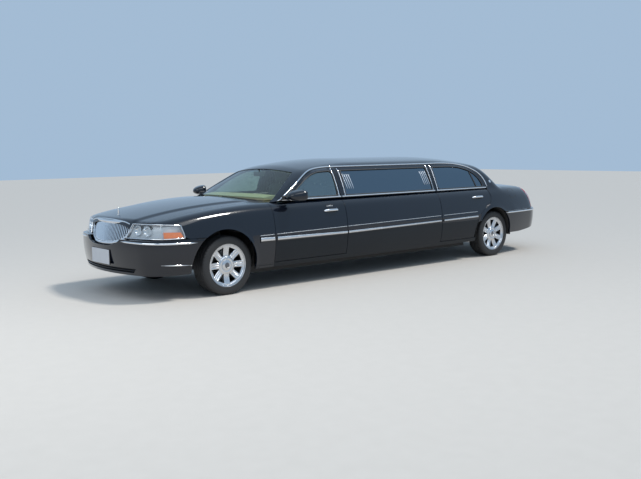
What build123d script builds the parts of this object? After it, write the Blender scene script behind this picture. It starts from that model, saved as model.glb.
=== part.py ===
from build123d import *
import math
import os

os.makedirs("parts", exist_ok=True)

# Overall sizes, in millimetres
WIDTH = 1986
ROOF_Z = 1501
WHEELBASE = 4769
FRONT_OVERHANG = 1095
REAR_OVERHANG = 1385
LENGTH = FRONT_OVERHANG + WHEELBASE + REAR_OVERHANG
NOSE_X = LENGTH / 2
TAIL_X = -LENGTH / 2
FRONT_AXLE_X = NOSE_X - FRONT_OVERHANG
REAR_AXLE_X = FRONT_AXLE_X - WHEELBASE
HALF = WIDTH / 2

# Heights
SILL_Z = 262
ROCKER_TOP = 318
WIDEST_Z = 600
BUMPER_TOP = 678
REAR_BUMPER_TOP = 664

# Wall thicknesses and clearances
SKIN = 10
DOOR_WALL = 110
PANEL_WALL = 36
PILLAR_WALL = 50
HOOD_WALL = 28
BUMPER_WALL = 60
LAMP_DEPTH = 90
GLASS_INSET = 12
GLASS_WALL = 6
DOOR_GAP = 6
SHUT_STEP = 14
SEAT_GAP = 0.3

# Wheels
TYRE_R = 337
TYRE_WIDTH = 230
RIM_R = 229
RIM_WIDTH = 196
FLANGE_R = 245
TRACK_HALF = 804
SPINDLE_R = 30
RUNNING = 0.05
SPOKES = 8
KINGPIN_Y = 655
KINGPIN_R = 13
ARCH_R = 418
REAR_ARCH_R = 400
ARCH_SHIFT = 60
REAR_ARCH_SHIFT = 48

# Cuts between the panels, measured back from the front axle or from the rear axle
FRONT_DOOR_START = 619
FRONT_DOOR_END = 1753
REAR_DOOR_START = -1237
REAR_DOOR_END = -130
COWL = 470
COWL_REAR = 800
HOOD_FRONT = -1010
HOOD_HALF = 742
LID_START = 715
LID_HALF = 690


def front(d):
    """A place measured back from the front axle"""
    return FRONT_AXLE_X - d


def rear(d):
    """A place measured back from the rear axle"""
    return REAR_AXLE_X - d


def top_block(outline, z_low, z_high):
    """A block with an outline seen from above, between two heights"""
    with BuildPart() as block:
        with BuildSketch(Plane.XY.offset(z_low)):
            with BuildLine():
                Polyline(*outline, close=True)
            make_face()
        extrude(amount=z_high - z_low)
    return block.part


def box(x_low, x_high, y_low, y_high, z_low, z_high):
    """A plain block between two corners"""
    return top_block([(x_low, y_low), (x_high, y_low), (x_high, y_high), (x_low, y_high)], z_low, z_high)


def both_sides(part):
    """A piece with its copy on the other side"""
    with BuildPart() as pair:
        add(part)
        mirror(about=Plane.XZ)
    return pair.part


def other_side(part):
    """The copy of a piece on the other side"""
    with BuildPart() as copy:
        add(mirror(part, about=Plane.XZ, mode=Mode.PRIVATE))
    return copy.part


def save(name, part):
    """Label one piece and write its file"""
    part.label = name
    export_step(part, "parts/" + name + ".step")


# Plan of the body: for each end a gentle arc, a corner arc and an end arc, with their headings
# columns: gentle radius, heading after it, corner radius, heading after it
PLAN_FRONT = (8000, 7, 390, 72)
PLAN_REAR = (7000, 8, 310, 78)
LOWER_SIDE_R = 1085
UPPER_SIDE_R = 976


def end_radius(row):
    """The radius of the end arc that brings the plan to the centre line"""
    gentle, first, corner, second = row
    a = math.radians(first)
    b = math.radians(second)
    used = gentle * (1 - math.cos(a)) + corner * (math.cos(a) - math.cos(b))
    return (HALF - used) / math.cos(b)


def curve_length(row):
    """How far the curved end of the plan reaches along the body"""
    gentle, first, corner, second = row
    a = math.radians(first)
    b = math.radians(second)
    end = end_radius(row)
    return gentle * math.sin(a) + corner * (math.sin(b) - math.sin(a)) + end * (1 - math.sin(b))


def side_inset(z):
    """How far the side lies inside the widest line at a height"""
    if z < WIDEST_Z:
        return LOWER_SIDE_R - math.sqrt(LOWER_SIDE_R ** 2 - (WIDEST_Z - z) ** 2)
    return UPPER_SIDE_R - math.sqrt(UPPER_SIDE_R ** 2 - (z - WIDEST_Z) ** 2)


def side_ring(inset):
    """Everything outside the curved body side, all the way round"""
    with BuildPart() as ring:
        with BuildLine() as plan:
            gentle, first, corner, second = PLAN_REAR
            a = JernArc((TAIL_X + inset, 0), (0, 1), end_radius(PLAN_REAR) - inset, second - 90)
            b = JernArc(a @ 1, a % 1, corner - inset, first - second)
            c = JernArc(b @ 1, b % 1, gentle - inset, -first)
            straight = LENGTH - curve_length(PLAN_REAR) - curve_length(PLAN_FRONT)
            gentle, first, corner, second = PLAN_FRONT
            d = Line(c @ 1, (c @ 1) + Vector(straight, 0))
            e = JernArc(d @ 1, d % 1, gentle - inset, -first)
            f = JernArc(e @ 1, e % 1, corner - inset, first - second)
            JernArc(f @ 1, f % 1, end_radius(PLAN_FRONT) - inset, second - 90)
            mirror(about=Plane.XZ)
        start = Plane(origin=(TAIL_X + inset, 0, 0), x_dir=(-1, 0, 0), z_dir=(0, 1, 0))
        low = 180
        high = 1105
        with BuildSketch(start):
            with BuildLine():
                middle = (low + WIDEST_Z) / 2
                ThreePointArc((-side_inset(low), low), (-side_inset(middle), middle), (0, WIDEST_Z))
                middle = (high + WIDEST_Z) / 2
                ThreePointArc((0, WIDEST_Z), (-side_inset(middle), middle), (-side_inset(high), high))
                Polyline((-side_inset(high), high), (500, high), (500, low), (-side_inset(low), low))
            make_face()
        sweep(path=plan.wires()[0])
    return ring.part


# Height of the body's centre line: hood, belt and deck
TOP_FRONT = (-1250, 800)
TOP_COWL = (550, 1052)
TOP_DECK = (-69, 1075)
TOP_REAR = (1500, 955)
CROWN_R = 7300


def top_cover(inset):
    """Everything above the hood, belt and deck"""
    with BuildPart() as cover:
        with BuildLine() as path:
            belt = Line(
                (front(TOP_COWL[0]), 0, TOP_COWL[1] - inset),
                (rear(TOP_DECK[0]), 0, TOP_DECK[1] - inset),
            )
            TangentArc(
                belt @ 1,
                (rear(TOP_REAR[0]), 0, TOP_REAR[1] - inset),
                tangent=belt % 1,
            )
            TangentArc(
                belt @ 0,
                (front(TOP_FRONT[0]), 0, TOP_FRONT[1] - inset),
                tangent=-(belt % 0),
            )
        wire = path.wires()[0]
        begin = wire @ 0
        heading = wire % 0
        with BuildSketch(Plane(origin=begin, x_dir=(0, 1, 0), z_dir=heading)) as section:
            up = 1 if heading.X > 0 else -1
            drop = CROWN_R - math.sqrt(CROWN_R ** 2 - 1100 ** 2)
            with BuildLine():
                ThreePointArc((-1100, -drop * up), (0, 0), (1100, -drop * up))
                Polyline((1100, -drop * up), (1100, 400 * up), (-1100, 400 * up), (-1100, -drop * up))
            make_face()
        sweep(path=wire)
    return cover.part


# Raked ends above the bumpers: place of the face at the bumper's top, its rake and its bow
NOSE_FACE = (-1050, 75, 2090)
TAIL_FACE = (1345, 66, 2400)


def raked_cover(base_x, base_z, rake, bow, facing, inset):
    """Everything outside a raked and bowed face: facing is 1 at the front, -1 at the back"""
    shift = inset / math.sin(math.radians(rake))
    start = base_x - facing * shift
    reach = 1000
    sag = bow - math.sqrt(bow ** 2 - reach ** 2)
    far = start + facing * 2200
    lean = (-facing * math.cos(math.radians(rake)), 0, math.sin(math.radians(rake)))
    with BuildPart() as cover:
        with BuildSketch(Plane.XY.offset(base_z)):
            with BuildLine():
                ThreePointArc((start - facing * sag, -reach), (start, 0), (start - facing * sag, reach))
                Polyline(
                    (start - facing * sag, reach),
                    (far, reach),
                    (far, -reach),
                    (start - facing * sag, -reach),
                )
            make_face()
        extrude(amount=1900, dir=lean)
    return cover.part


def lower_form(inset):
    """The body below the belt, moved inwards by an inset"""
    with BuildPart() as form:
        add(box(TAIL_X - 50, NOSE_X + 50, -HALF - 50, HALF + 50, 200, 1100))
        add(side_ring(inset), mode=Mode.SUBTRACT)
        add(top_cover(inset), mode=Mode.SUBTRACT)
        place, rake, bow = NOSE_FACE
        add(raked_cover(front(place), BUMPER_TOP, rake, bow, 1, inset), mode=Mode.SUBTRACT)
        place, rake, bow = TAIL_FACE
        add(raked_cover(rear(place), REAR_BUMPER_TOP, rake, bow, -1, inset), mode=Mode.SUBTRACT)
    return form.part


# Greenhouse: side lean, roof line and the two raked glasses
GLASS_BASE = (888, 1000)
GLASS_TOP = (689, 1398)
GLASS_BOW = 14
ROOF_CROWN_R = 3000
ROOF_FRONT = (900, 1350)
ROOF_LEVEL_START = 2200
ROOF_LEVEL_END = -1270
ROOF_REAR = (350, 1330)
WINDSHIELD_BASE = 405
WINDSHIELD_RAKE = 26
WINDSHIELD_BOW_R = 1350
BACKLIGHT_BASE = 700
BACKLIGHT_RAKE = 24
BACKLIGHT_BOW_R = 1500
RAKE_Z = 1020


def roof_cover(inset):
    """Everything above the roof"""
    with BuildPart() as cover:
        with BuildLine() as path:
            level = Line(
                (front(ROOF_LEVEL_START), 0, ROOF_Z - inset),
                (rear(ROOF_LEVEL_END), 0, ROOF_Z - inset),
            )
            TangentArc(level @ 1, (rear(ROOF_REAR[0]), 0, ROOF_REAR[1] - inset), tangent=level % 1)
            TangentArc(level @ 0, (front(ROOF_FRONT[0]), 0, ROOF_FRONT[1] - inset), tangent=-(level % 0))
        wire = path.wires()[0]
        up = 1 if (wire % 0).X > 0 else -1
        with BuildSketch(Plane(origin=wire @ 0, x_dir=(0, 1, 0), z_dir=wire % 0)):
            drop = up * (ROOF_CROWN_R - math.sqrt(ROOF_CROWN_R ** 2 - 1000 ** 2))
            with BuildLine():
                ThreePointArc((-1000, -drop), (0, 0), (1000, -drop))
                Polyline((1000, -drop), (1000, 400 * up), (-1000, 400 * up), (-1000, -drop))
            make_face()
        sweep(path=wire)
    return cover.part


LOW_Z = 900


def glass_foot(base, facing):
    """The place of a raked glass where it is carried down to the greenhouse's lowest level"""
    if facing == 1:
        return front(base) + (RAKE_Z - LOW_Z) / math.tan(math.radians(WINDSHIELD_RAKE))
    return rear(base) - (RAKE_Z - LOW_Z) / math.tan(math.radians(BACKLIGHT_RAKE))


def upper_form(inset):
    """The greenhouse above the belt, moved inwards by an inset"""
    lean = math.atan2(GLASS_BASE[0] - GLASS_TOP[0], GLASS_TOP[1] - GLASS_BASE[1])
    side = inset / math.cos(lean)
    middle_y = (GLASS_BASE[0] + GLASS_TOP[0]) / 2 + GLASS_BOW * math.cos(lean) - side
    middle_z = (GLASS_BASE[1] + GLASS_TOP[1]) / 2 + GLASS_BOW * math.sin(lean)
    slope = (GLASS_BASE[0] - GLASS_TOP[0]) / (GLASS_TOP[1] - GLASS_BASE[1])
    low_z = LOW_Z + 30
    low_y = GLASS_BASE[0] - side + slope * (GLASS_BASE[1] - low_z) - 20
    high_z = 1560
    high_y = GLASS_TOP[0] - side - slope * (high_z - GLASS_TOP[1]) - 15
    x_high = front(WINDSHIELD_BASE - 200)
    x_low = rear(BACKLIGHT_BASE + 220)
    with BuildPart() as form:
        with BuildSketch(Plane.YZ.offset(x_low)):
            with BuildLine():
                ThreePointArc((low_y, low_z), (middle_y, middle_z), (high_y, high_z))
                Line((high_y, high_z), (-high_y, high_z))
                ThreePointArc((-high_y, high_z), (-middle_y, middle_z), (-low_y, low_z))
                Line((-low_y, low_z), (low_y, low_z))
            make_face()
        extrude(amount=x_high - x_low)
        add(roof_cover(inset), mode=Mode.SUBTRACT)
        add(
            raked_cover(glass_foot(WINDSHIELD_BASE, 1), LOW_Z, WINDSHIELD_RAKE, WINDSHIELD_BOW_R, 1, inset),
            mode=Mode.SUBTRACT,
        )
        add(
            raked_cover(glass_foot(BACKLIGHT_BASE, -1), LOW_Z, BACKLIGHT_RAKE, BACKLIGHT_BOW_R, -1, inset),
            mode=Mode.SUBTRACT,
        )
    return form.part


def region(outline, shrink=0.0, arcs=()):
    """A face from an outline whose marked corners are the middles of arcs"""
    points = [Vector(*p) for p in outline]
    with BuildSketch() as face:
        with BuildLine():
            i = 0
            while i < len(points):
                if (i + 1) % len(points) in arcs:
                    ThreePointArc(points[i], points[(i + 1) % len(points)], points[(i + 2) % len(points)])
                    i += 2
                else:
                    Line(points[i], points[(i + 1) % len(points)])
                    i += 1
        make_face()
        if shrink:
            offset(amount=-shrink)
    return face.sketch


def side_prism(outline, shrink=0.0, arcs=(), y_low=0.0, y_high=HALF + 100):
    """A block with a side outline, from one width to another"""
    with BuildPart() as prism:
        with BuildSketch(Plane.XZ.offset(-y_high)):
            add(region(outline, shrink, arcs))
        extrude(amount=y_high - y_low)
    return prism.part


def top_prism(outline, shrink=0.0, arcs=(), z_low=900, z_high=1520):
    """A block with an outline seen from above, from one height to another"""
    with BuildPart() as prism:
        with BuildSketch(Plane.XY.offset(z_low)):
            add(region(outline, shrink, arcs))
        extrude(amount=z_high - z_low)
    return prism.part


def common(*parts):
    """What several solids share"""
    with BuildPart() as shared:
        add(parts[0])
        for other in parts[1:]:
            add(other, mode=Mode.INTERSECT)
    return shared.part


def cut(base, *others):
    """One solid less some others"""
    with BuildPart() as rest:
        add(base)
        for other in others:
            add(other, mode=Mode.SUBTRACT)
    return rest.part


def fuse(*parts):
    """Several solids made one"""
    with BuildPart() as whole:
        for part in parts:
            add(part)
    return whole.part


def cylinder_y(x, z, radius, y_low, y_high):
    """A round bar across the car"""
    with BuildPart() as bar:
        with BuildSketch(Plane.XZ.offset(-y_high)):
            with Locations((x, z)):
                Circle(radius)
        extrude(amount=y_high - y_low)
    return bar.part


def cylinder_x(y, z, radius, x_low, x_high):
    """A round bar along the car"""
    with BuildPart() as bar:
        with BuildSketch(Plane.YZ.offset(x_low)):
            with Locations((y, z)):
                Circle(radius)
        extrude(amount=x_high - x_low)
    return bar.part


def cylinder_z(x, y, radius, z_low, z_high):
    """An upright round bar"""
    with BuildPart() as bar:
        with BuildSketch(Plane.XY.offset(z_low)):
            with Locations((x, y)):
                Circle(radius)
        extrude(amount=z_high - z_low)
    return bar.part


# The forms that the panels are cut from, each moved inwards by its wall
BELT_CUT = 1005
PILLAR_FOOT = 1008
EDGE = 60
PAST = 50
UNDER = 200
OVER = 1600
OVER_BELT = 1100
lower_outer = lower_form(0)
upper_outer = upper_form(0)
lower_skin = lower_form(SKIN)
upper_skin = upper_form(SKIN)
lower_panel = lower_form(PANEL_WALL)
upper_panel = upper_form(PANEL_WALL)
lower_door = lower_form(DOOR_WALL)
upper_pillar = upper_form(PILLAR_WALL)
glass_out = upper_form(GLASS_INSET)
glass_in = upper_form(GLASS_INSET + GLASS_WALL)
above_belt = box(TAIL_X - EDGE, NOSE_X + EDGE, -HALF - EDGE, HALF + EDGE, BELT_CUT, ROOF_Z + EDGE)

# The left side between the wheels, below and above the belt
SIDE_LOW_INNER = 785
SIDE_HIGH_INNER = 560
SIDE_HIGH_TOP = 1420
side_low_zone = box(rear(0), front(350), SIDE_LOW_INNER, HALF + EDGE, UNDER, BELT_CUT)
side_high_zone = box(rear(0), front(600), SIDE_HIGH_INNER, HALF, BELT_CUT, SIDE_HIGH_TOP)
side_low = common(side_low_zone, lower_outer)
side_low_skin = common(side_low_zone, lower_skin)
side_low_wall = cut(side_low, common(side_low_zone, lower_door))
side_high = common(side_high_zone, upper_outer)
side_high_skin = common(side_high_zone, upper_skin)
side_high_wall = cut(side_high, common(side_high_zone, upper_pillar))
side_glass = cut(common(side_high_zone, glass_out), common(side_high_zone, glass_in))

FRONT_ARCH_INNER = 500
REAR_ARCH_INNER = 400
front_arch = cylinder_y(front(-ARCH_SHIFT), TYRE_R, ARCH_R, FRONT_ARCH_INNER, HALF + EDGE)
rear_arch = cylinder_y(rear(-REAR_ARCH_SHIFT), TYRE_R, REAR_ARCH_R, REAR_ARCH_INNER, HALF + EDGE)

# Side outlines, front ones measured from the front axle and rear ones from the rear axle
DOOR_TOP = 1388
WINDOW_LOW = 1045
WINDOW_TOP = 1350
FRONT_DOOR_CURVE = [(790, 1022), (1245, 1292), (1340, 1338), (1460, 1362), (1650, 1383)]
FRONT_DOOR = [
    (FRONT_DOOR_START, ROCKER_TOP),
    (FRONT_DOOR_START, 1004),
    *FRONT_DOOR_CURVE,
    (FRONT_DOOR_END, DOOR_TOP),
    (FRONT_DOOR_END, ROCKER_TOP),
]
FRONT_WINDOW = [
    (905, WINDOW_LOW),
    (1250, 1252),
    (1335, 1300),
    (1460, 1333),
    (1665, WINDOW_TOP),
    (1705, WINDOW_LOW),
]
REAR_DOOR_ROOF = [(-790, DOOR_TOP), (-520, 1362)]
REAR_DOOR_CURVE = [
    (-300, 1290),
    (-165, 1190),
    (-128, 1020),
    (-110, 880),
    (-150, 800),
    (-265, 745),
    (-375, 665),
    (-455, 555),
]
REAR_DOOR = [
    (REAR_DOOR_START, ROCKER_TOP),
    (REAR_DOOR_START, DOOR_TOP),
    *REAR_DOOR_ROOF,
    *REAR_DOOR_CURVE,
    (-500, 430),
    (-508, ROCKER_TOP),
]
REAR_WINDOW = [
    (REAR_DOOR_START + 50, WINDOW_LOW),
    (REAR_DOOR_START + 55, WINDOW_TOP),
    (-780, WINDOW_TOP),
    (-540, 1325),
    (-350, 1258),
    (-225, 1165),
    (-190, WINDOW_LOW),
]
MIDDLE_WINDOW_FRONT = 1860
MIDDLE_WINDOW_REAR = -1315
MIDDLE_WINDOW_LEAN = 20


def at_front(outline):
    """An outline whose places are measured from the front axle"""
    return [(front(d), z) for d, z in outline]


def at_rear(outline):
    """An outline whose places are measured from the rear axle"""
    return [(rear(d), z) for d, z in outline]


def door(outline, window):
    """A door: a full wall, stepped in behind its skin all round, with its window cut through"""
    whole = side_prism(outline, DOOR_GAP / 2)
    step = cut(whole, side_prism(outline, DOOR_GAP / 2 + SHUT_STEP))
    low = cut(common(whole, side_low_wall), common(step, side_low_skin))
    high = cut(common(whole, side_high_wall), common(step, side_high_skin))
    return cut(fuse(low, high), side_prism(window))


front_door_outline = at_front(FRONT_DOOR)
rear_door_outline = at_rear(REAR_DOOR)
middle_window = [
    (front(MIDDLE_WINDOW_FRONT - MIDDLE_WINDOW_LEAN), WINDOW_LOW),
    (front(MIDDLE_WINDOW_FRONT), WINDOW_TOP),
    (rear(MIDDLE_WINDOW_REAR), WINDOW_TOP),
    (rear(MIDDLE_WINDOW_REAR + MIDDLE_WINDOW_LEAN), WINDOW_LOW),
]
front_door = door(front_door_outline, at_front(FRONT_WINDOW))
rear_door = door(rear_door_outline, at_rear(REAR_WINDOW))
front_glass = common(side_prism(at_front(FRONT_WINDOW), SEAT_GAP), side_glass)
rear_glass = common(side_prism(at_rear(REAR_WINDOW), SEAT_GAP), side_glass)
middle_glass = common(side_prism(middle_window, SEAT_GAP), side_glass)

# Body side: rocker, pillars and the long stretch panel
JOINT = DOOR_GAP / 2
ROCKER_FRONT = 430
ROCKER_REAR = -500
side_outline = [
    (front(ROCKER_FRONT), SILL_Z),
    (front(ROCKER_FRONT), ROCKER_TOP - JOINT),
    (front(FRONT_DOOR_END) - JOINT, ROCKER_TOP - JOINT),
    (front(FRONT_DOOR_END) - JOINT, DOOR_TOP),
    (rear(REAR_DOOR_START) + JOINT, DOOR_TOP),
    (rear(REAR_DOOR_START) + JOINT, ROCKER_TOP - JOINT),
    (rear(ROCKER_REAR), ROCKER_TOP - JOINT),
    (rear(ROCKER_REAR), SILL_Z),
]


HINGE_Z = (455, 845)
HINGE_HEIGHT = 68
HINGE_Y = (880, 925)
HINGE_ROOT = 12


def hinge_block(x_face, z):
    """A door hinge that reaches from its pillar to just short of the door's shut face"""
    tip = x_face - SHUT_STEP - 2 * JOINT + SEAT_GAP
    return box(tip, x_face + HINGE_ROOT, *HINGE_Y, z - HINGE_HEIGHT / 2, z + HINGE_HEIGHT / 2)


front_hinges = [hinge_block(front(FRONT_DOOR_START) + JOINT, z) for z in HINGE_Z]
rear_hinges = [hinge_block(rear(REAR_DOOR_START) + JOINT, z) for z in HINGE_Z]
side_whole = side_prism(side_outline)
side_panel = fuse(common(side_whole, side_low_wall), common(side_whole, side_high_wall), *rear_hinges)
side_panel = cut(side_panel, side_prism(middle_window))

# Front of the body: fenders, hood, bumper, lamps
GRILLE_HALF = 475
GRILLE_Z = (604, 868)
GRILLE_SIDE = [(GRILLE_HALF, GRILLE_Z[1]), (448, 760), (405, 692), (320, 636), (190, 609), (90, GRILLE_Z[0])]
GRILLE_OUTLINE = GRILLE_SIDE + [(-y, z) for y, z in reversed(GRILLE_SIDE)]


def grille_prism(grow, x_low, x_high):
    """The grille's rounded shield along the car, grown by a clearance"""
    with BuildPart() as shield:
        with BuildSketch(Plane.YZ.offset(x_low)):
            with BuildLine():
                Polyline(*GRILLE_OUTLINE, close=True)
            make_face()
            if grow != 0:
                offset(amount=grow, kind=Kind.INTERSECTION)
        extrude(amount=x_high - x_low)
    return shield.part


front_zone = box(front(COWL_REAR + 20), NOSE_X + EDGE, -HALF - EDGE, HALF + EDGE, UNDER, OVER_BELT)
front_outer = common(front_zone, lower_outer)
front_layer = cut(front_outer, common(front_zone, lower_panel))
LAMP = [(-1200, 700), (-1200, 862), (-985, 858), (-590, 842), (-546, 694)]
LAMP_INNER = 408
lamp_shape = side_prism(at_front(LAMP), 0, (), LAMP_INNER)
lamp_room = side_prism(at_front(LAMP), -SEAT_GAP, (), LAMP_INNER - JOINT)
lamp_room_hood = side_prism(at_front(LAMP), -DOOR_GAP, (), LAMP_INNER - JOINT)
HOOD_LOW = 760
hood_box = box(front(COWL), front(HOOD_FRONT), -HOOD_HALF, HOOD_HALF, HOOD_LOW, OVER_BELT)
hood_layer = cut(front_outer, common(front_zone, lower_form(HOOD_WALL)))
hood = cut(
    common(hood_box, hood_layer),
    lamp_room_hood,
    mirror(lamp_room_hood, Plane.XZ),
    box(front(-880), NOSE_X, -GRILLE_HALF - JOINT, GRILLE_HALF + JOINT, UNDER, GRILLE_Z[1] + DOOR_GAP),
)
bumper_room = box(front(-300), NOSE_X + PAST, -HALF - PAST, HALF + PAST, UNDER, BUMPER_TOP)
PILLAR_START = 490
PILLAR_TOP = 985
FENDER_FRONT = -960
fender_back = front(FRONT_DOOR_START) + JOINT
fender_inner = HOOD_HALF + DOOR_GAP
fender_zone = box(fender_back, front(FENDER_FRONT), fender_inner, HALF + PAST, SILL_Z, PILLAR_FOOT)
pillar_zone = box(fender_back, front(PILLAR_START), fender_inner, HALF + PAST, ROCKER_TOP, PILLAR_TOP)
pillar_wall = cut(common(pillar_zone, lower_outer), lower_door)
rocker_roof = ROCKER_TOP - JOINT + SEAT_GAP
under_rocker = box(
    front(FRONT_DOOR_START) - PAST, front(ROCKER_FRONT - 30), HOOD_HALF - 40, HALF + PAST, UNDER, rocker_roof
)
fender = fuse(common(fender_zone, front_layer), pillar_wall, *front_hinges)
fender = cut(fender, bumper_room, front_arch, lamp_room, under_rocker)

BUMPER_LOW = 287
BUMPER_BACK = -380
bumper_zone = box(
    front(BUMPER_BACK), NOSE_X + PAST, -HALF - PAST, HALF + PAST, BUMPER_LOW, BUMPER_TOP - SEAT_GAP
)
GRILLE_ROOM_BACK = -900
grille_room = grille_prism(SEAT_GAP, front(GRILLE_ROOM_BACK), NOSE_X + PAST)
PLATE_HALF = 158
PLATE_PROUD = 3
PLATE_HOLE_Y = 89
PLATE_HOLE_R = 3.5
PLATE_HOLE_DEPTH = 30
PLATE_HOLE_DROP = 30
PLATE_PAD_DEPTH = 50
FRONT_PLATE_Z = (370, 520)
REAR_PLATE_Z = (430, 590)


def plate_pad(face_x, facing, z):
    """A flat pad for a number plate: facing is 1 at the front, -1 at the back"""
    x_low, x_high = sorted((face_x, face_x - facing * PLATE_PAD_DEPTH))
    return box(x_low, x_high, -PLATE_HALF, PLATE_HALF, z[0], z[1])


def plate_holes(face_x, facing, z):
    """The two screw holes of a number plate"""
    x_low, x_high = sorted((face_x + facing * 5, face_x - facing * PLATE_HOLE_DEPTH))
    hole = cylinder_x(PLATE_HOLE_Y, z[1] - PLATE_HOLE_DROP, PLATE_HOLE_R, x_low, x_high)
    return both_sides(hole)


INTAKE_Z = ((318, 338), (344, 364))
INTAKE_HALF = 560
INTAKE_BACK = 260
intakes = []
for z_low, z_high in INTAKE_Z:
    intakes.append(box(NOSE_X - INTAKE_BACK, NOSE_X + PAST, -INTAKE_HALF, INTAKE_HALF, z_low, z_high))
front_bumper = cut(
    fuse(
        common(bumper_zone, cut(front_outer, lower_form(BUMPER_WALL))),
        plate_pad(NOSE_X - PLATE_PROUD, 1, FRONT_PLATE_Z),
    ),
    plate_holes(NOSE_X - PLATE_PROUD, 1, FRONT_PLATE_Z),
    *intakes,
    front_arch,
    mirror(front_arch, Plane.XZ),
    grille_room,
)
lamp_zone = common(cut(lamp_shape, bumper_room), lower_outer)
lamp = cut(lamp_zone, lower_form(LAMP_DEPTH), grille_prism(JOINT, front(-860), NOSE_X + PAST))

# Rear of the body: quarters with the roof's rear pillars, lid, bumper, lamps
REAR_BUMPER_LOW = 325
LAMP_BACK = [(1225, 676), (985, 958), (1500, 958), (1500, 676)]
rear_zone = box(TAIL_X - EDGE, rear(-560), -HALF - EDGE, HALF + EDGE, UNDER, OVER_BELT)
rear_outer = common(rear_zone, lower_outer)
rear_layer = cut(rear_outer, common(rear_zone, lower_panel))
LID_LOW = 690
LID_ROOM_LOW = LID_LOW - DOOR_GAP
lid_box = box(TAIL_X - PAST, rear(LID_START), -LID_HALF, LID_HALF, LID_LOW, OVER_BELT)
lid = common(lid_box, cut(rear_outer, common(rear_zone, lower_form(HOOD_WALL))))
tail_shape = side_prism(at_rear(LAMP_BACK), 0, (), LID_HALF + DOOR_GAP)
tail = common(tail_shape, cut(rear_outer, lower_form(BUMPER_WALL)))
tail_room = side_prism(at_rear(LAMP_BACK), -SEAT_GAP, (), LID_HALF + DOOR_GAP - SEAT_GAP)

# Clearance from the rear door's curved edge, one row for each of its points: back and up
REAR_DOOR_ROOM = [(0, 12), (6, 5), (6, 0), (6, 0), (5, -4), (4, -6), (3, -6), (0, -6)]
QUARTER_FRONT = -300
rear_outline = [(rear(QUARTER_FRONT), OVER)]
for (d, z), (room_back, room_up) in zip(REAR_DOOR_CURVE, REAR_DOOR_ROOM):
    rear_outline.append((rear(d) - room_back, z + room_up))
rear_outline += [(rear(-400), TYRE_R), (TAIL_X - PAST, TYRE_R), (TAIL_X - PAST, OVER)]
rear_bumper_room = box(TAIL_X - EDGE, rear(200), -HALF - EDGE, HALF + EDGE, UNDER, REAR_BUMPER_TOP)
rear_prism = side_prism(rear_outline, 0, (), -HALF - EDGE)
rear_high = common(rear_prism, above_belt, cut(upper_outer, upper_panel))
backlight_outline = [
    (rear(355), -700),
    (rear(528), 0),
    (rear(355), 700),
    (rear(-119), 540),
    (rear(-144), 0),
    (rear(-119), -540),
]
backlight_shape = top_prism(backlight_outline, 0, (1, 4), 1040)
rear_body = cut(
    fuse(common(rear_prism, rear_layer), cut(rear_high, backlight_shape)),
    box(
        TAIL_X - EDGE,
        rear(LID_START) + DOOR_GAP,
        -LID_HALF - DOOR_GAP,
        LID_HALF + DOOR_GAP,
        LID_ROOM_LOW,
        OVER_BELT,
    ),
    rear_arch,
    mirror(rear_arch, Plane.XZ),
    rear_bumper_room,
    tail_room,
    mirror(tail_room, Plane.XZ),
)
rear_bumper_zone = box(
    TAIL_X - EDGE, rear(200), -HALF - PAST, HALF + PAST, REAR_BUMPER_LOW, REAR_BUMPER_TOP - SEAT_GAP
)
rear_bumper = cut(
    fuse(
        common(rear_bumper_zone, cut(rear_outer, lower_form(BUMPER_WALL))),
        plate_pad(TAIL_X + PLATE_PROUD, -1, REAR_PLATE_Z),
    ),
    plate_holes(TAIL_X + PLATE_PROUD, -1, REAR_PLATE_Z),
    rear_arch,
    mirror(rear_arch, Plane.XZ),
)

# Roof with its front pillars, header and cowl
# Clearance from the front door's curved edge, one row for each of its points: forward and up
FRONT_DOOR_ROOM = [(3, 5), (2, 5), (2, 6), (1, 6), (0, 6)]
PILLAR_FRONT = 300
roof_low = [(front(PILLAR_FRONT), PILLAR_FOOT + SEAT_GAP), (front(640), 1011)]
for (d, z), (room_forward, room_up) in zip(FRONT_DOOR_CURVE, FRONT_DOOR_ROOM):
    roof_low.append((front(d) + room_forward, z + room_up))
roof_low += [
    (front(FRONT_DOOR_END) - JOINT, DOOR_TOP + DOOR_GAP),
    (front(FRONT_DOOR_END) - JOINT, DOOR_TOP + SEAT_GAP),
    (rear(REAR_DOOR_START) + JOINT, DOOR_TOP + SEAT_GAP),
    (rear(REAR_DOOR_START) + JOINT, DOOR_TOP + DOOR_GAP),
]
for d, z in REAR_DOOR_ROOF:
    roof_low.append((rear(d), z + DOOR_GAP))
roof_low += [
    (rear(QUARTER_FRONT) + SEAT_GAP, REAR_DOOR_CURVE[0][1] + DOOR_GAP),
    (rear(QUARTER_FRONT) + SEAT_GAP, OVER),
    (front(PILLAR_FRONT), OVER),
]
windshield_outline = [
    (front(735), -800),
    (front(522), 0),
    (front(735), 800),
    (front(1200), 585),
    (front(1150), 0),
    (front(1200), -585),
]
roof = cut(
    common(side_prism(roof_low, 0, (), -HALF - EDGE), cut(upper_outer, upper_pillar)),
    box(front(COWL) - DOOR_GAP, front(0), -HALF, HALF, UNDER, OVER),
    top_prism(windshield_outline, 0, (1, 4)),
)
COWL_LOW = 940
cowl = common(
    box(front(COWL_REAR), front(COWL) - DOOR_GAP, -HOOD_HALF, HOOD_HALF, COWL_LOW, OVER_BELT),
    front_layer,
)
roof = fuse(roof, cowl)
glass_layer = cut(glass_out, glass_in)
windshield = common(top_prism(windshield_outline, SEAT_GAP, (1, 4)), glass_layer)
rear_window = common(top_prism(backlight_outline, SEAT_GAP, (1, 4)), glass_layer)


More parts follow.
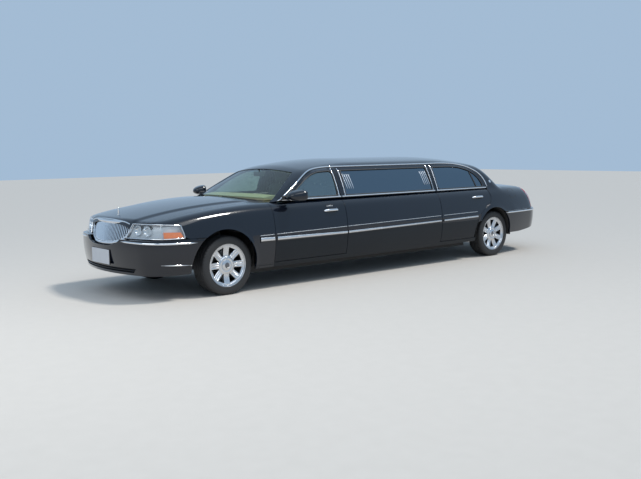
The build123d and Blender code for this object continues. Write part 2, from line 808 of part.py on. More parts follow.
# Wheels
def tyre_section():
    """Half section of a tyre: places are width from the middle and radius"""
    return [
        (0, RIM_R + SEAT_GAP),
        (96, RIM_R + SEAT_GAP),
        (97, 247),
        (111, 266),
        (TYRE_WIDTH / 2, 290),
        (109, 318),
        (94, 332),
        (60, TYRE_R - 1),
        (0, TYRE_R),
    ]


def ring_y(section, centre_y):
    """A turned piece about a line across the car, from a section of widths and radii"""
    with BuildPart() as ring:
        with BuildSketch(Plane.YZ) as face:
            with BuildLine():
                Polyline(*[(centre_y + w, r) for w, r in section], close=True)
            make_face()
        revolve(axis=Axis.Y)
    return ring.part


def wheel_place(part, x):
    """A piece turned about the car's origin moved to an axle"""
    return part.moved(Location((x, 0, TYRE_R)))


half_tyre = tyre_section()
tyre_shape = ring_y(half_tyre + [(-w, r) for w, r in reversed(half_tyre[1:-1])], TRACK_HALF)
RIM_WALL = 14
RIM_FACE = RIM_WIDTH / 2
HUB_R = 84
HUB_INNER = 6
FLANGE_PROUD = 7
barrel = [
    (-RIM_FACE, RIM_R - RIM_WALL),
    (-RIM_FACE, RIM_R),
    (RIM_FACE - 1, RIM_R),
    (RIM_FACE - 1, FLANGE_R),
    (RIM_FACE + FLANGE_PROUD, FLANGE_R),
    (RIM_FACE + FLANGE_PROUD, FLANGE_R - 12),
    (RIM_FACE - 4, RIM_R - RIM_WALL),
]
SPOKE_FACE = 88
SPOKE_DEPTH = 34
GROOVE_DEPTH = 10
HUB_RECESS = 8
hub = [
    (HUB_INNER, SPINDLE_R + RUNNING),
    (HUB_INNER, HUB_R),
    (SPOKE_FACE - 30, HUB_R),
    (SPOKE_FACE - HUB_RECESS, 62),
    (SPOKE_FACE - HUB_RECESS, SPINDLE_R + RUNNING),
]
# Spoke and the groove down its face: inner half width, inner radius, outer half width, outer radius
SPOKE = (23, 52, 38, RIM_R - RIM_WALL + 4)
GROOVE = (9, 92, 20, 203)


def taper(row):
    """The four corners of a tapered bar that stands up from the wheel's centre"""
    half_in, r_in, half_out, r_out = row
    return [(-half_in, r_in), (half_in, r_in), (half_out, r_out), (-half_out, r_out)]


def spoke():
    """One spoke from the hub to the rim, standing up, with a groove down its face"""
    face = Plane.XZ.offset(-(TRACK_HALF + SPOKE_FACE))
    with BuildPart() as arm:
        with BuildSketch(face):
            with BuildLine():
                Polyline(*taper(SPOKE), close=True)
            make_face()
        extrude(amount=SPOKE_DEPTH)
        with BuildSketch(face):
            with BuildLine():
                Polyline(*taper(GROOVE), close=True)
            make_face()
        extrude(amount=GROOVE_DEPTH, mode=Mode.SUBTRACT)
    return arm.part


with BuildPart() as rim_build:
    add(ring_y(barrel, TRACK_HALF))
    add(ring_y(hub, TRACK_HALF))
    arm = spoke()
    for i in range(SPOKES):
        add(arm.rotate(Axis.Y, i * 360 / SPOKES))
rim_shape = rim_build.part

# Knuckles with their kingpins and spindles
KNUCKLE_Z = 120
PIN_LENGTH = 36
UPRIGHT = (642, 700)
UPRIGHT_HALF = 26
BOSS_R = 62
SHOULDER_R = 48
STEER_ARM = (150, 24)
STEER_ARM_Z = TYRE_R - 60
spindle_end = TRACK_HALF + SPOKE_FACE - 14
pin_low = TYRE_R - KNUCKLE_Z - PIN_LENGTH
pin_high = TYRE_R + KNUCKLE_Z + PIN_LENGTH
upright = box(
    -UPRIGHT_HALF, UPRIGHT_HALF, UPRIGHT[0] - 10, UPRIGHT[1] - 20, TYRE_R - KNUCKLE_Z, TYRE_R + KNUCKLE_Z
)
steer_arm = box(
    -STEER_ARM[0],
    0,
    UPRIGHT[0] - 6,
    UPRIGHT[0] - 6 + STEER_ARM[1],
    STEER_ARM_Z,
    STEER_ARM_Z + STEER_ARM[1],
)
knuckle = fuse(
    upright,
    cylinder_y(0, TYRE_R, BOSS_R, UPRIGHT[0], UPRIGHT[1] + 24),
    cylinder_y(0, TYRE_R, SHOULDER_R, UPRIGHT[1], TRACK_HALF + HUB_INNER - 6),
    cylinder_y(0, TYRE_R, SPINDLE_R, UPRIGHT[1], spindle_end),
    cylinder_z(0, KINGPIN_Y, KINGPIN_R, pin_low, pin_high),
    steer_arm,
).moved(Location((FRONT_AXLE_X, 0, 0)))

# Frame: side rails that step in at each end, joined by cross members
RAIL_Z = (186, 259)
FRONT_RAIL_Y = 400
MID_RAIL_Y = 700
REAR_RAIL_Y = 470
RAIL_WIDTH = 70
END_RAIL_Z = (300, 420)
REAR_RAIL_Z = (430, 500)
bumper_inside = lower_form(BUMPER_WALL + SEAT_GAP)


def rail_run(x_low, x_high, y, z):
    """One straight run of a side rail"""
    return box(x_low, x_high, y - RAIL_WIDTH / 2, y + RAIL_WIDTH / 2, z[0], z[1])


def cross_member(x, half_width, z, width=90):
    """A beam from rail to rail"""
    return box(x - width / 2, x + width / 2, -half_width, half_width, z[0], z[1])


# Places where the rails step: front ones behind the front axle, the rear one ahead of the rear axle
DROP = (360, 440)
RUN = (440, 530)
KICK = (-560, -480)
FRONT_RAIL_END = -880
REAR_RAIL_END = 1180
RAIL_LAP = 10
OUTRIGGER = (FRONT_RAIL_Y - RAIL_WIDTH / 2, MID_RAIL_Y + RAIL_WIDTH / 2)
KICK_BEAM = (REAR_RAIL_Y - RAIL_WIDTH / 2, MID_RAIL_Y + RAIL_WIDTH / 2)
rail = fuse(
    rail_run(front(DROP[1]), front(FRONT_RAIL_END), FRONT_RAIL_Y, END_RAIL_Z),
    rail_run(front(RUN[1]), front(DROP[0]), FRONT_RAIL_Y, (RAIL_Z[0], END_RAIL_Z[0] - 60)),
    rail_run(front(DROP[1]), front(DROP[0]), FRONT_RAIL_Y, (RAIL_Z[0], END_RAIL_Z[1])),
    box(front(RUN[1]), front(RUN[0]), *OUTRIGGER, RAIL_Z[0], RAIL_Z[1] - 20),
    rail_run(rear(KICK[1]), front(RUN[0]), MID_RAIL_Y, RAIL_Z),
    box(rear(KICK[1]), rear(KICK[0]), *KICK_BEAM, *RAIL_Z),
    rail_run(rear(KICK[1]), rear(KICK[0]), REAR_RAIL_Y, (RAIL_Z[0], REAR_RAIL_Z[1])),
    rail_run(rear(REAR_RAIL_END), rear(KICK[0]), REAR_RAIL_Y, REAR_RAIL_Z),
    common(rail_run(front(FRONT_RAIL_END + RAIL_LAP), NOSE_X, FRONT_RAIL_Y, END_RAIL_Z), bumper_inside),
    common(rail_run(TAIL_X, rear(REAR_RAIL_END - RAIL_LAP), REAR_RAIL_Y, REAR_RAIL_Z), bumper_inside),
)
CROSS_COUNT = 5
CROSS_FROM_AXLE = 900
CROSS_Z = (226, RAIL_Z[1])
cross_start = front(CROSS_FROM_AXLE)
cross_pitch = (rear(-CROSS_FROM_AXLE) - cross_start) / (CROSS_COUNT - 1)
beams = []
for i in range(CROSS_COUNT):
    beams.append(cross_member(cross_start + cross_pitch * i, MID_RAIL_Y, CROSS_Z))
chassis_frame = fuse(
    rail,
    mirror(rail, Plane.XZ),
    *beams,
    cross_member(front(0), FRONT_RAIL_Y + 35, (230, END_RAIL_Z[0]), 150),
    cross_member(front(-820), FRONT_RAIL_Y, END_RAIL_Z),
    cross_member(rear(700), REAR_RAIL_Y, REAR_RAIL_Z),
    cross_member(rear(1140), REAR_RAIL_Y, REAR_RAIL_Z),
)

# Front suspension: two arms each side that carry the kingpins
ARM_ROOT = FRONT_RAIL_Y + RAIL_WIDTH / 2
ARM_HALF = 120
ARM_THICK = 28
ARM_FOOT = 24
ARM_HOLE = (70, 44)
EYE_R = 24
arm_low = pin_low + 4
arm_high = TYRE_R + KNUCKLE_Z + 4


def control_arm(z, root_z):
    """A forked arm from the frame to a kingpin eye"""
    with BuildPart() as arm:
        with BuildSketch(Plane.XY.offset(z)):
            with BuildLine():
                Polyline(
                    (FRONT_AXLE_X - ARM_HALF, ARM_ROOT),
                    (FRONT_AXLE_X + ARM_HALF, ARM_ROOT),
                    (FRONT_AXLE_X + EYE_R, KINGPIN_Y),
                    (FRONT_AXLE_X - EYE_R, KINGPIN_Y),
                    close=True,
                )
            make_face()
            with Locations((FRONT_AXLE_X, KINGPIN_Y)):
                Circle(EYE_R)
            with Locations((FRONT_AXLE_X, ARM_ROOT + ARM_HOLE[0])):
                Circle(ARM_HOLE[1], mode=Mode.SUBTRACT)
            with Locations((FRONT_AXLE_X, KINGPIN_Y)):
                Circle(KINGPIN_R + RUNNING, mode=Mode.SUBTRACT)
        extrude(amount=ARM_THICK)
        foot_z = (min(z, root_z), max(z + ARM_THICK, root_z))
        add(box(front(ARM_HALF), front(-ARM_HALF), ARM_ROOT, ARM_ROOT + ARM_FOOT, *foot_z))
    return arm.part


front_arms = fuse(control_arm(arm_low, END_RAIL_Z[0] + 20), control_arm(arm_high, END_RAIL_Z[1] - 20))

# Rear axle
AXLE_R = 42
DIFF_R = 130
DIFF_X = (-115, 95)
PINION_R = 48
PINION_END = -210
SPRING_R = 55
rear_hub_face = TRACK_HALF + HUB_INNER - 6
rear_axle = fuse(
    cylinder_y(REAR_AXLE_X, TYRE_R, AXLE_R, -rear_hub_face, rear_hub_face),
    cylinder_y(REAR_AXLE_X, TYRE_R, SPINDLE_R, -spindle_end, spindle_end),
    cylinder_x(0, TYRE_R, DIFF_R, rear(DIFF_X[1]), rear(DIFF_X[0])),
    cylinder_x(0, TYRE_R, PINION_R, rear(PINION_END), REAR_AXLE_X),
)
spring = cylinder_z(REAR_AXLE_X, REAR_RAIL_Y, SPRING_R, TYRE_R, REAR_RAIL_Z[0] - SEAT_GAP)
rear_axle = fuse(rear_axle, spring, mirror(spring, Plane.XZ))

# Engine, gearbox, shaft, exhaust and tank
ENGINE_HALF = 270
ENGINE_LENGTH = 660
ENGINE_TOP = 800
GEARBOX_END = 855
GEARBOX_R = 92
SHAFT_R = 36
engine_x = (front(ENGINE_LENGTH / 2), front(-ENGINE_LENGTH / 2))
engine = fuse(
    box(*engine_x, -ENGINE_HALF, ENGINE_HALF, END_RAIL_Z[0] + SEAT_GAP, ENGINE_TOP),
    cylinder_x(0, TYRE_R, GEARBOX_R, front(GEARBOX_END), engine_x[0]),
)
drive_shaft = cylinder_x(0, TYRE_R, SHAFT_R, rear(PINION_END) + SEAT_GAP, front(GEARBOX_END) - SEAT_GAP)
PIPE_R = 28
PIPE_Y = 330
PIPE_Z = CROSS_Z[0] - SEAT_GAP - PIPE_R
MUFFLER_R = 62
MUFFLER_DROP = 18
MUFFLER_X = (rear(-900), rear(-1500))
PIPE_END = (PIPE_Y + 60, PIPE_Z + 90)
HANGER_X = (1125, 1155)
with BuildPart() as exhaust_build:
    with BuildLine() as route:
        FilletPolyline(
            (front(640), PIPE_Y, PIPE_Z),
            (rear(700), PIPE_Y, PIPE_Z),
            (rear(900), *PIPE_END),
            (rear(1330), *PIPE_END),
            radius=80,
        )
    start = route.wires()[0]
    with BuildSketch(Plane(origin=start @ 0, z_dir=start % 0)):
        Circle(PIPE_R)
    sweep(path=start)
exhaust = fuse(
    exhaust_build.part,
    common(
        cylinder_x(PIPE_Y, PIPE_Z - MUFFLER_DROP, MUFFLER_R, *MUFFLER_X),
        box(*MUFFLER_X, PIPE_Y - 2 * MUFFLER_R, PIPE_Y + 2 * MUFFLER_R, 0, CROSS_Z[0] - SEAT_GAP),
    ),
    box(
        rear(HANGER_X[1]),
        rear(HANGER_X[0]),
        PIPE_END[0] - 10,
        PIPE_END[0] + 10,
        PIPE_END[1],
        REAR_RAIL_Z[0] - SEAT_GAP,
    ),
)
TANK_X = (220, 600)
TANK_HALF = 400
TANK_LOW = 300
TANK_BACK = 500
fuel_tank = fuse(
    box(rear(TANK_X[1]), rear(TANK_X[0]), -TANK_HALF, TANK_HALF, TANK_LOW, REAR_RAIL_Z[0] - SEAT_GAP),
    box(rear(TANK_X[1]), rear(TANK_BACK), 20 - TANK_HALF, TANK_HALF - 20, TANK_LOW + 100, REAR_RAIL_Z[1]),
)

# Floor with tunnel, firewall, heel board and boot floor
FLOOR_Z = RAIL_Z[1] + SEAT_GAP
FLOOR_WALL = 30
FLOOR_TOP = FLOOR_Z + FLOOR_WALL
TUNNEL_HALF = 112
TUNNEL_Z = 450
TUNNEL_WALL = 18
TUNNEL_OUT = TUNNEL_HALF + TUNNEL_WALL
TUNNEL_TOP = TUNNEL_Z + TUNNEL_WALL
BOOT_Z = REAR_RAIL_Z[1] + SEAT_GAP
BOOT_TOP = BOOT_Z + FLOOR_WALL
BOOT_HALF = 660
HEEL = -640
HEEL_WALL = 25
BOOT_STRAIGHT = 1000
BOOT_END = 1270
FIREWALL = 455
HOOD_SEAT_Y = (560, 620)
WHEELHOUSE = (640, 656)
WHEELHOUSE_HALF = 470
door_inside = lower_form(DOOR_WALL + SEAT_GAP)
panel_inside = lower_form(PANEL_WALL + SEAT_GAP)
hood_inside = lower_form(HOOD_WALL + SEAT_GAP)
cabin_floor = common(
    fuse(
        box(rear(HEEL), front(PILLAR_START), -HALF, HALF, FLOOR_Z, FLOOR_TOP),
        box(rear(HEEL), front(FIREWALL), -TUNNEL_OUT, TUNNEL_OUT, FLOOR_Z, TUNNEL_TOP),
    ),
    door_inside,
)
FIREWALL_TOP = 955
SHELF_LOW = 925
SHELF_X = (480, 530)
SHELF_HALF = 700
shelf = box(front(SHELF_X[1]), front(SHELF_X[0]), -SHELF_HALF, SHELF_HALF, SHELF_LOW, PILLAR_FOOT)
hood_seat = common(box(front(475), front(440), *HOOD_SEAT_Y, SHELF_LOW, OVER_BELT), hood_inside)
firewall = fuse(
    box(front(FIREWALL + FLOOR_WALL), front(FIREWALL), -HOOD_HALF, HOOD_HALF, FLOOR_Z, FIREWALL_TOP),
    box(front(FIREWALL + FLOOR_WALL + 10), front(FIREWALL + 20), -HOOD_HALF, HOOD_HALF, FLOOR_Z, FLOOR_TOP),
    common(shelf, panel_inside),
    both_sides(hood_seat),
)
BOOT_LEVEL = (-BOOT_HALF, BOOT_HALF, BOOT_Z, BOOT_TOP)
boot = fuse(
    common(box(rear(BOOT_END), rear(BOOT_STRAIGHT), *BOOT_LEVEL), bumper_inside),
    box(rear(BOOT_STRAIGHT), rear(HEEL), *BOOT_LEVEL),
    box(rear(HEEL + HEEL_WALL), rear(HEEL), -BOOT_HALF, BOOT_HALF, FLOOR_Z, BOOT_TOP),
    box(rear(HEEL + HEEL_WALL), rear(HEEL) + 20, -BOOT_HALF, BOOT_HALF, FLOOR_Z, FLOOR_TOP),
)
wheelhouse = common(
    box(rear(WHEELHOUSE_HALF), rear(-WHEELHOUSE_HALF), *WHEELHOUSE, BOOT_Z, OVER_BELT), panel_inside
)
floor_pan = cut(
    fuse(cabin_floor, firewall, boot, wheelhouse, mirror(wheelhouse, Plane.XZ)),
    box(rear(HEEL + 40), front(FIREWALL - 10), -TUNNEL_HALF, TUNNEL_HALF, UNDER, TUNNEL_Z),
)

# Radiator support behind the grille and lamps
lamp_inside = lower_form(LAMP_DEPTH + SEAT_GAP)
SUPPORT_X = (-925, -885)
SUPPORT_HALF = 760
SUPPORT_TOP = 838
radiator_support = common(
    box(
        front(SUPPORT_X[1]),
        front(SUPPORT_X[0]),
        -SUPPORT_HALF,
        SUPPORT_HALF,
        END_RAIL_Z[1] + SEAT_GAP,
        SUPPORT_TOP,
    ),
    lamp_inside,
)

# Grille: a bowed chrome frame with upright bars
GRILLE_FACE = -1072
GRILLE_DEPTH = 42
GRILLE_RAKE = 75
GRILLE_BOW = 2090
GRILLE_FOOT = 560
FRAME_WIDTH = 20
BAR_WIDTH = 6
BAR_PITCH = 22
GRILLE_BACK = front(-880)
GRILLE_FRONT = GRILLE_BACK + 260
BAR_COUNT = int(2 * GRILLE_HALF / BAR_PITCH)
with BuildPart() as bar_build:
    with BuildSketch(Plane.YZ.offset(GRILLE_BACK)):
        with Locations((0, (GRILLE_Z[0] + GRILLE_Z[1]) / 2)):
            with GridLocations(BAR_PITCH, 1, BAR_COUNT, 1):
                Rectangle(BAR_WIDTH, 2 * (GRILLE_Z[1] - GRILLE_Z[0]))
    extrude(amount=GRILLE_FRONT - GRILLE_BACK)
grille_frame = cut(
    grille_prism(0, GRILLE_BACK, GRILLE_FRONT),
    grille_prism(-FRAME_WIDTH, GRILLE_BACK - 1, GRILLE_FRONT + 1),
)
grille_bars = common(bar_build.part, grille_prism(-FRAME_WIDTH / 2, GRILLE_BACK, GRILLE_FRONT))
grille = cut(
    common(
        fuse(grille_frame, grille_bars),
        raked_cover(front(GRILLE_FACE), GRILLE_FOOT, GRILLE_RAKE, GRILLE_BOW, 1, GRILLE_DEPTH),
    ),
    raked_cover(front(GRILLE_FACE), GRILLE_FOOT, GRILLE_RAKE, GRILLE_BOW, 1, 0),
)

# Cabin: dashboard, wheel, seats and partition
DASH = [(532, 960), (600, 990), (800, 965), (815, 900), (790, 780), (700, 690), (560, 700), (532, 760)]
DASH_HALF = 742
dashboard = common(side_prism(at_front(DASH), 0, (), -DASH_HALF, DASH_HALF), panel_inside)
DRIVER_Y = 380
WHEEL_PLACE = (1010, 850)
WHEEL_TILT = 26
WHEEL_R = 188
GRIP_R = 15
HUB_SIZE = (55, 50)
ARM_SIZE = (34, 18)
COLUMN = (28, 310)
COLUMN_DROP = -180
HUB_DROP = -20
column_axis = Plane(
    origin=(front(WHEEL_PLACE[0]), DRIVER_Y, WHEEL_PLACE[1]),
    x_dir=(0, 1, 0),
    z_dir=(-math.cos(math.radians(WHEEL_TILT)), 0, math.sin(math.radians(WHEEL_TILT))),
)
with BuildPart(column_axis) as wheel_build:
    Torus(WHEEL_R, GRIP_R)
    with Locations((0, 0, HUB_DROP)):
        Cylinder(*HUB_SIZE)
        Box(2 * WHEEL_R, *ARM_SIZE)
    with Locations((0, -WHEEL_R / 2, HUB_DROP)):
        Box(ARM_SIZE[0], WHEEL_R, ARM_SIZE[1])
    with Locations((0, 0, COLUMN_DROP)):
        Cylinder(*COLUMN)
dash_room = side_prism(at_front(DASH), -SEAT_GAP, (), -DASH_HALF, DASH_HALF)
steering_wheel = cut(wheel_build.part, dash_room)
SEAT_WIDTH = 484
SEAT_FOOT = FLOOR_TOP + SEAT_GAP
BENCH_FOOT = BOOT_TOP + SEAT_GAP
SEAT_CUSHION = [(1150, SEAT_FOOT), (1125, 480), (1150, 545), (1620, 520), (1640, SEAT_FOOT)]
SEAT_BACK = [(1641, SEAT_FOOT), (1621, 521), (1745, 1210), (1815, 1215), (1822, 1100), (1760, SEAT_FOOT)]
BENCH_CUSHION = [
    (HEEL - 5, BENCH_FOOT),
    (HEEL - 20, 690),
    (HEEL + 60, 715),
    (-240, 680),
    (-232, BENCH_FOOT),
]
BENCH_BACK = [(-231, BENCH_FOOT), (-239, 680), (-110, 985), (-20, 1000), (-20, BENCH_FOOT)]
BENCH_HALF = 625
seat_low = DRIVER_Y - SEAT_WIDTH / 2
seat_high = DRIVER_Y + SEAT_WIDTH / 2
front_seat = fuse(
    side_prism(at_front(SEAT_CUSHION), 0, (), seat_low, seat_high),
    side_prism(at_front(SEAT_BACK), 0, (), seat_low, seat_high),
)
SIDE_SEAT_Y = (390, 640)
SIDE_SEAT_Z = (620, 960)
SIDE_SEAT_FRONT = 1990
side_seat_end = rear(REAR_DOOR_START - 60)
side_seat_start = front(SIDE_SEAT_FRONT)
rear_seats = fuse(
    side_prism(at_rear(BENCH_CUSHION), 0, (), -BENCH_HALF, BENCH_HALF),
    side_prism(at_rear(BENCH_BACK), 0, (), -BENCH_HALF, BENCH_HALF),
    box(
        side_seat_end,
        side_seat_start,
        SEAT_GAP - SIDE_SEAT_Y[1],
        -SIDE_SEAT_Y[0],
        SEAT_FOOT,
        SIDE_SEAT_Z[0],
    ),
    common(
        box(side_seat_end, side_seat_start, -HALF, -SIDE_SEAT_Y[1], SEAT_FOOT, SIDE_SEAT_Z[1]),
        door_inside,
    ),
)
PARTITION = (1905, 1935)
PARTITION_STEP = 940
PARTITION_HALF = 760
HATCH_HALF = 560
HATCH_Z = (1000, 1340)
TUNNEL_ROOM = TUNNEL_OUT + 1
pillar_inside = upper_form(PILLAR_WALL + SEAT_GAP)
wall_x = (front(PARTITION[1]), front(PARTITION[0]))
cutter_x = (wall_x[0] - PAST, wall_x[1] + PAST)
partition = fuse(
    common(box(*wall_x, -HALF, HALF, SEAT_FOOT, PARTITION_STEP), door_inside),
    common(box(*wall_x, -PARTITION_HALF, PARTITION_HALF, PARTITION_STEP, ROOF_Z), pillar_inside),
)
partition = cut(
    partition,
    box(*cutter_x, -HATCH_HALF, HATCH_HALF, *HATCH_Z),
    box(*cutter_x, -TUNNEL_ROOM, TUNNEL_ROOM, UNDER, TUNNEL_TOP + 1),
)

# Door mirrors
MIRROR_PLACE = (885, 1062, 1086)
MIRROR_SIZE = (110, 190, 124)
MIRROR_ROUND = 34
MIRROR_FOOT_X = (850, 905)
MIRROR_FOOT_Y = (800, 1000)
with BuildPart() as mirror_build:
    with Locations((front(MIRROR_PLACE[0]), MIRROR_PLACE[1], MIRROR_PLACE[2])):
        Box(*MIRROR_SIZE)
    fillet(mirror_build.edges(), MIRROR_ROUND)
foot = box(front(MIRROR_FOOT_X[1]), front(MIRROR_FOOT_X[0]), *MIRROR_FOOT_Y, BELT_CUT + SEAT_GAP, 1040)
glass_zone = box(front(1000), front(700), *MIRROR_FOOT_Y, BELT_CUT, OVER_BELT)
mirror_left = fuse(mirror_build.part, cut(foot, common(glass_zone, upper_form(-SEAT_GAP))))

# Steps that carry the lid's hinges
LID_STEP_Y = (500, 560)
LID_STEP_LOW = 960
hinge_step = common(
    box(rear(LID_START + 40), rear(LID_START - 30), *LID_STEP_Y, LID_STEP_LOW, OVER_BELT),
    hood_inside,
)
rear_body = fuse(rear_body, hinge_step, mirror(hinge_step, Plane.XZ))

pieces = dict(
    front_door_left=front_door,
    rear_door_left=rear_door,
    front_door_glass_left=front_glass,
    rear_door_glass_left=rear_glass,
    front_door_right=other_side(front_door),
    rear_door_right=other_side(rear_door),
    front_door_glass_right=other_side(front_glass),
    rear_door_glass_right=other_side(rear_glass),
    side_windows=both_sides(middle_glass),
    side_panels=both_sides(side_panel),
    hood=hood,
    front_fenders=both_sides(fender),
    front_bumper=front_bumper,
    headlights=both_sides(lamp),
    trunk_lid=lid,
    tail_lights=both_sides(tail),
    rear_body=rear_body,
    rear_bumper=rear_bumper,
    roof=roof,
    windshield=windshield,
    rear_window=rear_window,
    chassis_frame=chassis_frame,
    floor_pan=floor_pan,
    radiator_support=radiator_support,
    grille=grille,
    dashboard=dashboard,
    steering_wheel=steering_wheel,
    front_seats=both_sides(front_seat),
    rear_seats=rear_seats,
    partition=partition,
    engine=engine,
    front_suspension=both_sides(front_arms),
    rear_axle=rear_axle,
    drive_shaft=drive_shaft,
    exhaust=exhaust,
    fuel_tank=fuel_tank,
    mirror_left=mirror_left,
    mirror_right=other_side(mirror_left),
    knuckle_left=knuckle,
    knuckle_right=other_side(knuckle),
)
for end, axle_x in (("front", FRONT_AXLE_X), ("rear", REAR_AXLE_X)):
    pieces["rim_" + end + "_left"] = wheel_place(rim_shape, axle_x)
    pieces["tyre_" + end + "_left"] = wheel_place(tyre_shape, axle_x)
    pieces["rim_" + end + "_right"] = other_side(wheel_place(rim_shape, axle_x))
    pieces["tyre_" + end + "_right"] = other_side(wheel_place(tyre_shape, axle_x))
for name, part in pieces.items():
    save(name, part)
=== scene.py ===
import math

import bpy
import numpy as np
from mathutils import Matrix, Vector
from mathutils.geometry import delaunay_2d_cdt


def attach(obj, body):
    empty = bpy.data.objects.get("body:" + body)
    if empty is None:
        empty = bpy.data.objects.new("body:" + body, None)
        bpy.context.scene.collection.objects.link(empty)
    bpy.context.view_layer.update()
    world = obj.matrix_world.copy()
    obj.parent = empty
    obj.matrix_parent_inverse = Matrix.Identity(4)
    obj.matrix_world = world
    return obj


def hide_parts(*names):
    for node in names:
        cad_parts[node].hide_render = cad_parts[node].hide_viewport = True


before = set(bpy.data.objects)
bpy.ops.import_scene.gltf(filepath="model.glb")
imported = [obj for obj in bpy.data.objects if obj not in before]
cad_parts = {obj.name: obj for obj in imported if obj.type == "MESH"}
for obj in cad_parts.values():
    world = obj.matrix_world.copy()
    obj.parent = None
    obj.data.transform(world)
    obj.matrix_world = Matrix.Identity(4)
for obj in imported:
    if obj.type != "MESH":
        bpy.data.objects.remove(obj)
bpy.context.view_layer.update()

# Main places, in metres: x runs forward, y to the left, z up
HALF = 0.993
NOSE = 3.6245
AXLE_F = 2.5295
AXLE_R = -2.2395
WHEEL_Z = 0.337
TRACK = 0.804


def front(d):
    return AXLE_F - d


def rear(d):
    return AXLE_R - d


def from_front(rows):
    """Rows of (distance behind the front axle, other measure) as places"""
    return [(front(d), w) for d, w in rows]


def from_rear(rows):
    return [(rear(d), w) for d, w in rows]


def across(rows, axis=1):
    """A flat line that ends on the middle of the car, carried on over it: the axis changes its sign there"""
    return rows + [(-a, b) if axis == 0 else (a, -b) for a, b in rows[:-1]][::-1]


def mirror(points):
    """The same line on the right side, run the other way"""
    return (points * (1, -1, 1))[::-1]


# Materials
def node_material(name):
    m = bpy.data.materials.new(name)
    m.use_nodes = True
    return m, m.node_tree.nodes["Principled BSDF"], m.node_tree


def put(shader, **values):
    for key, value in values.items():
        shader.inputs[key.replace("_", " ")].default_value = value


def noise(tree, scale, detail=3.0):
    coords = tree.nodes.new("ShaderNodeTexCoord")
    n = tree.nodes.new("ShaderNodeTexNoise")
    put(n, Scale=scale, Detail=detail)
    tree.links.new(coords.outputs["Object"], n.inputs["Vector"])
    return n


def two_tone(tree, n, low, high, socket):
    ramp = tree.nodes.new("ShaderNodeValToRGB")
    ramp.color_ramp.elements[0].color = (*low, 1)
    ramp.color_ramp.elements[1].color = (*high, 1)
    tree.links.new(n.outputs["Fac"], ramp.inputs["Fac"])
    tree.links.new(ramp.outputs["Color"], socket)


def vary(tree, n, low, high, socket):
    m = tree.nodes.new("ShaderNodeMapRange")
    put(m, To_Min=low, To_Max=high)
    tree.links.new(n.outputs["Fac"], m.inputs["Value"])
    tree.links.new(m.outputs["Result"], socket)


def bump(tree, n, shader, strength, distance):
    b = tree.nodes.new("ShaderNodeBump")
    put(b, Strength=strength, Distance=distance)
    tree.links.new(n.outputs["Fac"], b.inputs["Height"])
    tree.links.new(b.outputs["Normal"], shader.inputs["Normal"])


def coated(name, low, high, rough, coat=1.0):
    """Paint or moulded plastic under a clear coat"""
    m, s, t = node_material(name)
    put(s, Specular_IOR_Level=0.15, Coat_Weight=coat, Coat_Roughness=0.02)
    n = noise(t, 1.6)
    two_tone(t, n, low, high, s.inputs["Base Color"])
    vary(t, n, rough * 0.9, rough * 1.15, s.inputs["Roughness"])
    return m


def grainy(name, low, high, rough, scale=60, grain=0.3, depth=0.001, metal=0.0):
    m, s, t = node_material(name)
    put(s, Metallic=metal)
    n = noise(t, scale)
    two_tone(t, n, low, high, s.inputs["Base Color"])
    vary(t, n, rough * 0.85, min(1.0, rough * 1.15), s.inputs["Roughness"])
    bump(t, n, s, grain, depth)
    return m


def shiny(name, low, high, rough, scale=12):
    m, s, t = node_material(name)
    put(s, Metallic=1.0)
    n = noise(t, scale)
    two_tone(t, n, low, high, s.inputs["Base Color"])
    vary(t, n, rough * 0.7, rough * 1.4, s.inputs["Roughness"])
    return m


def see_through(name, tint, share, ior=1.5, film=(0.95, 0.97, 1)):
    """A thin pane: light passes straight through a tint, and only the side it comes from is glossy"""
    m, s, t = node_material(name)
    put(s, Roughness=0.0, IOR=1.45)
    n = noise(t, 2.0)
    two_tone(t, n, tuple(0.5 * c for c in tint), tuple(0.6 * c for c in tint), s.inputs["Base Color"])
    clear = t.nodes.new("ShaderNodeBsdfTransparent")
    two_tone(t, n, tint, tuple(min(1, 1.04 * c) for c in tint), clear.inputs["Color"])
    pane = t.nodes.new("ShaderNodeMixShader")
    pane.inputs["Fac"].default_value = share
    gloss = t.nodes.new("ShaderNodeBsdfGlossy")
    put(gloss, Roughness=0.02, Color=(*film, 1))
    fresnel = t.nodes.new("ShaderNodeFresnel")
    fresnel.inputs["IOR"].default_value = ior
    face = t.nodes.new("ShaderNodeNewGeometry")
    front_only = t.nodes.new("ShaderNodeMath")
    front_only.operation = "SUBTRACT"
    front_only.use_clamp = True
    top = t.nodes.new("ShaderNodeMixShader")
    for out, socket in (
        (fresnel.outputs["Fac"], front_only.inputs[0]),
        (face.outputs["Backfacing"], front_only.inputs[1]),
        (s.outputs["BSDF"], pane.inputs[1]),
        (clear.outputs["BSDF"], pane.inputs[2]),
        (front_only.outputs["Value"], top.inputs["Fac"]),
        (pane.outputs["Shader"], top.inputs[1]),
        (gloss.outputs["BSDF"], top.inputs[2]),
        (top.outputs["Shader"], t.nodes["Material Output"].inputs["Surface"]),
    ):
        t.links.new(out, socket)
    return m


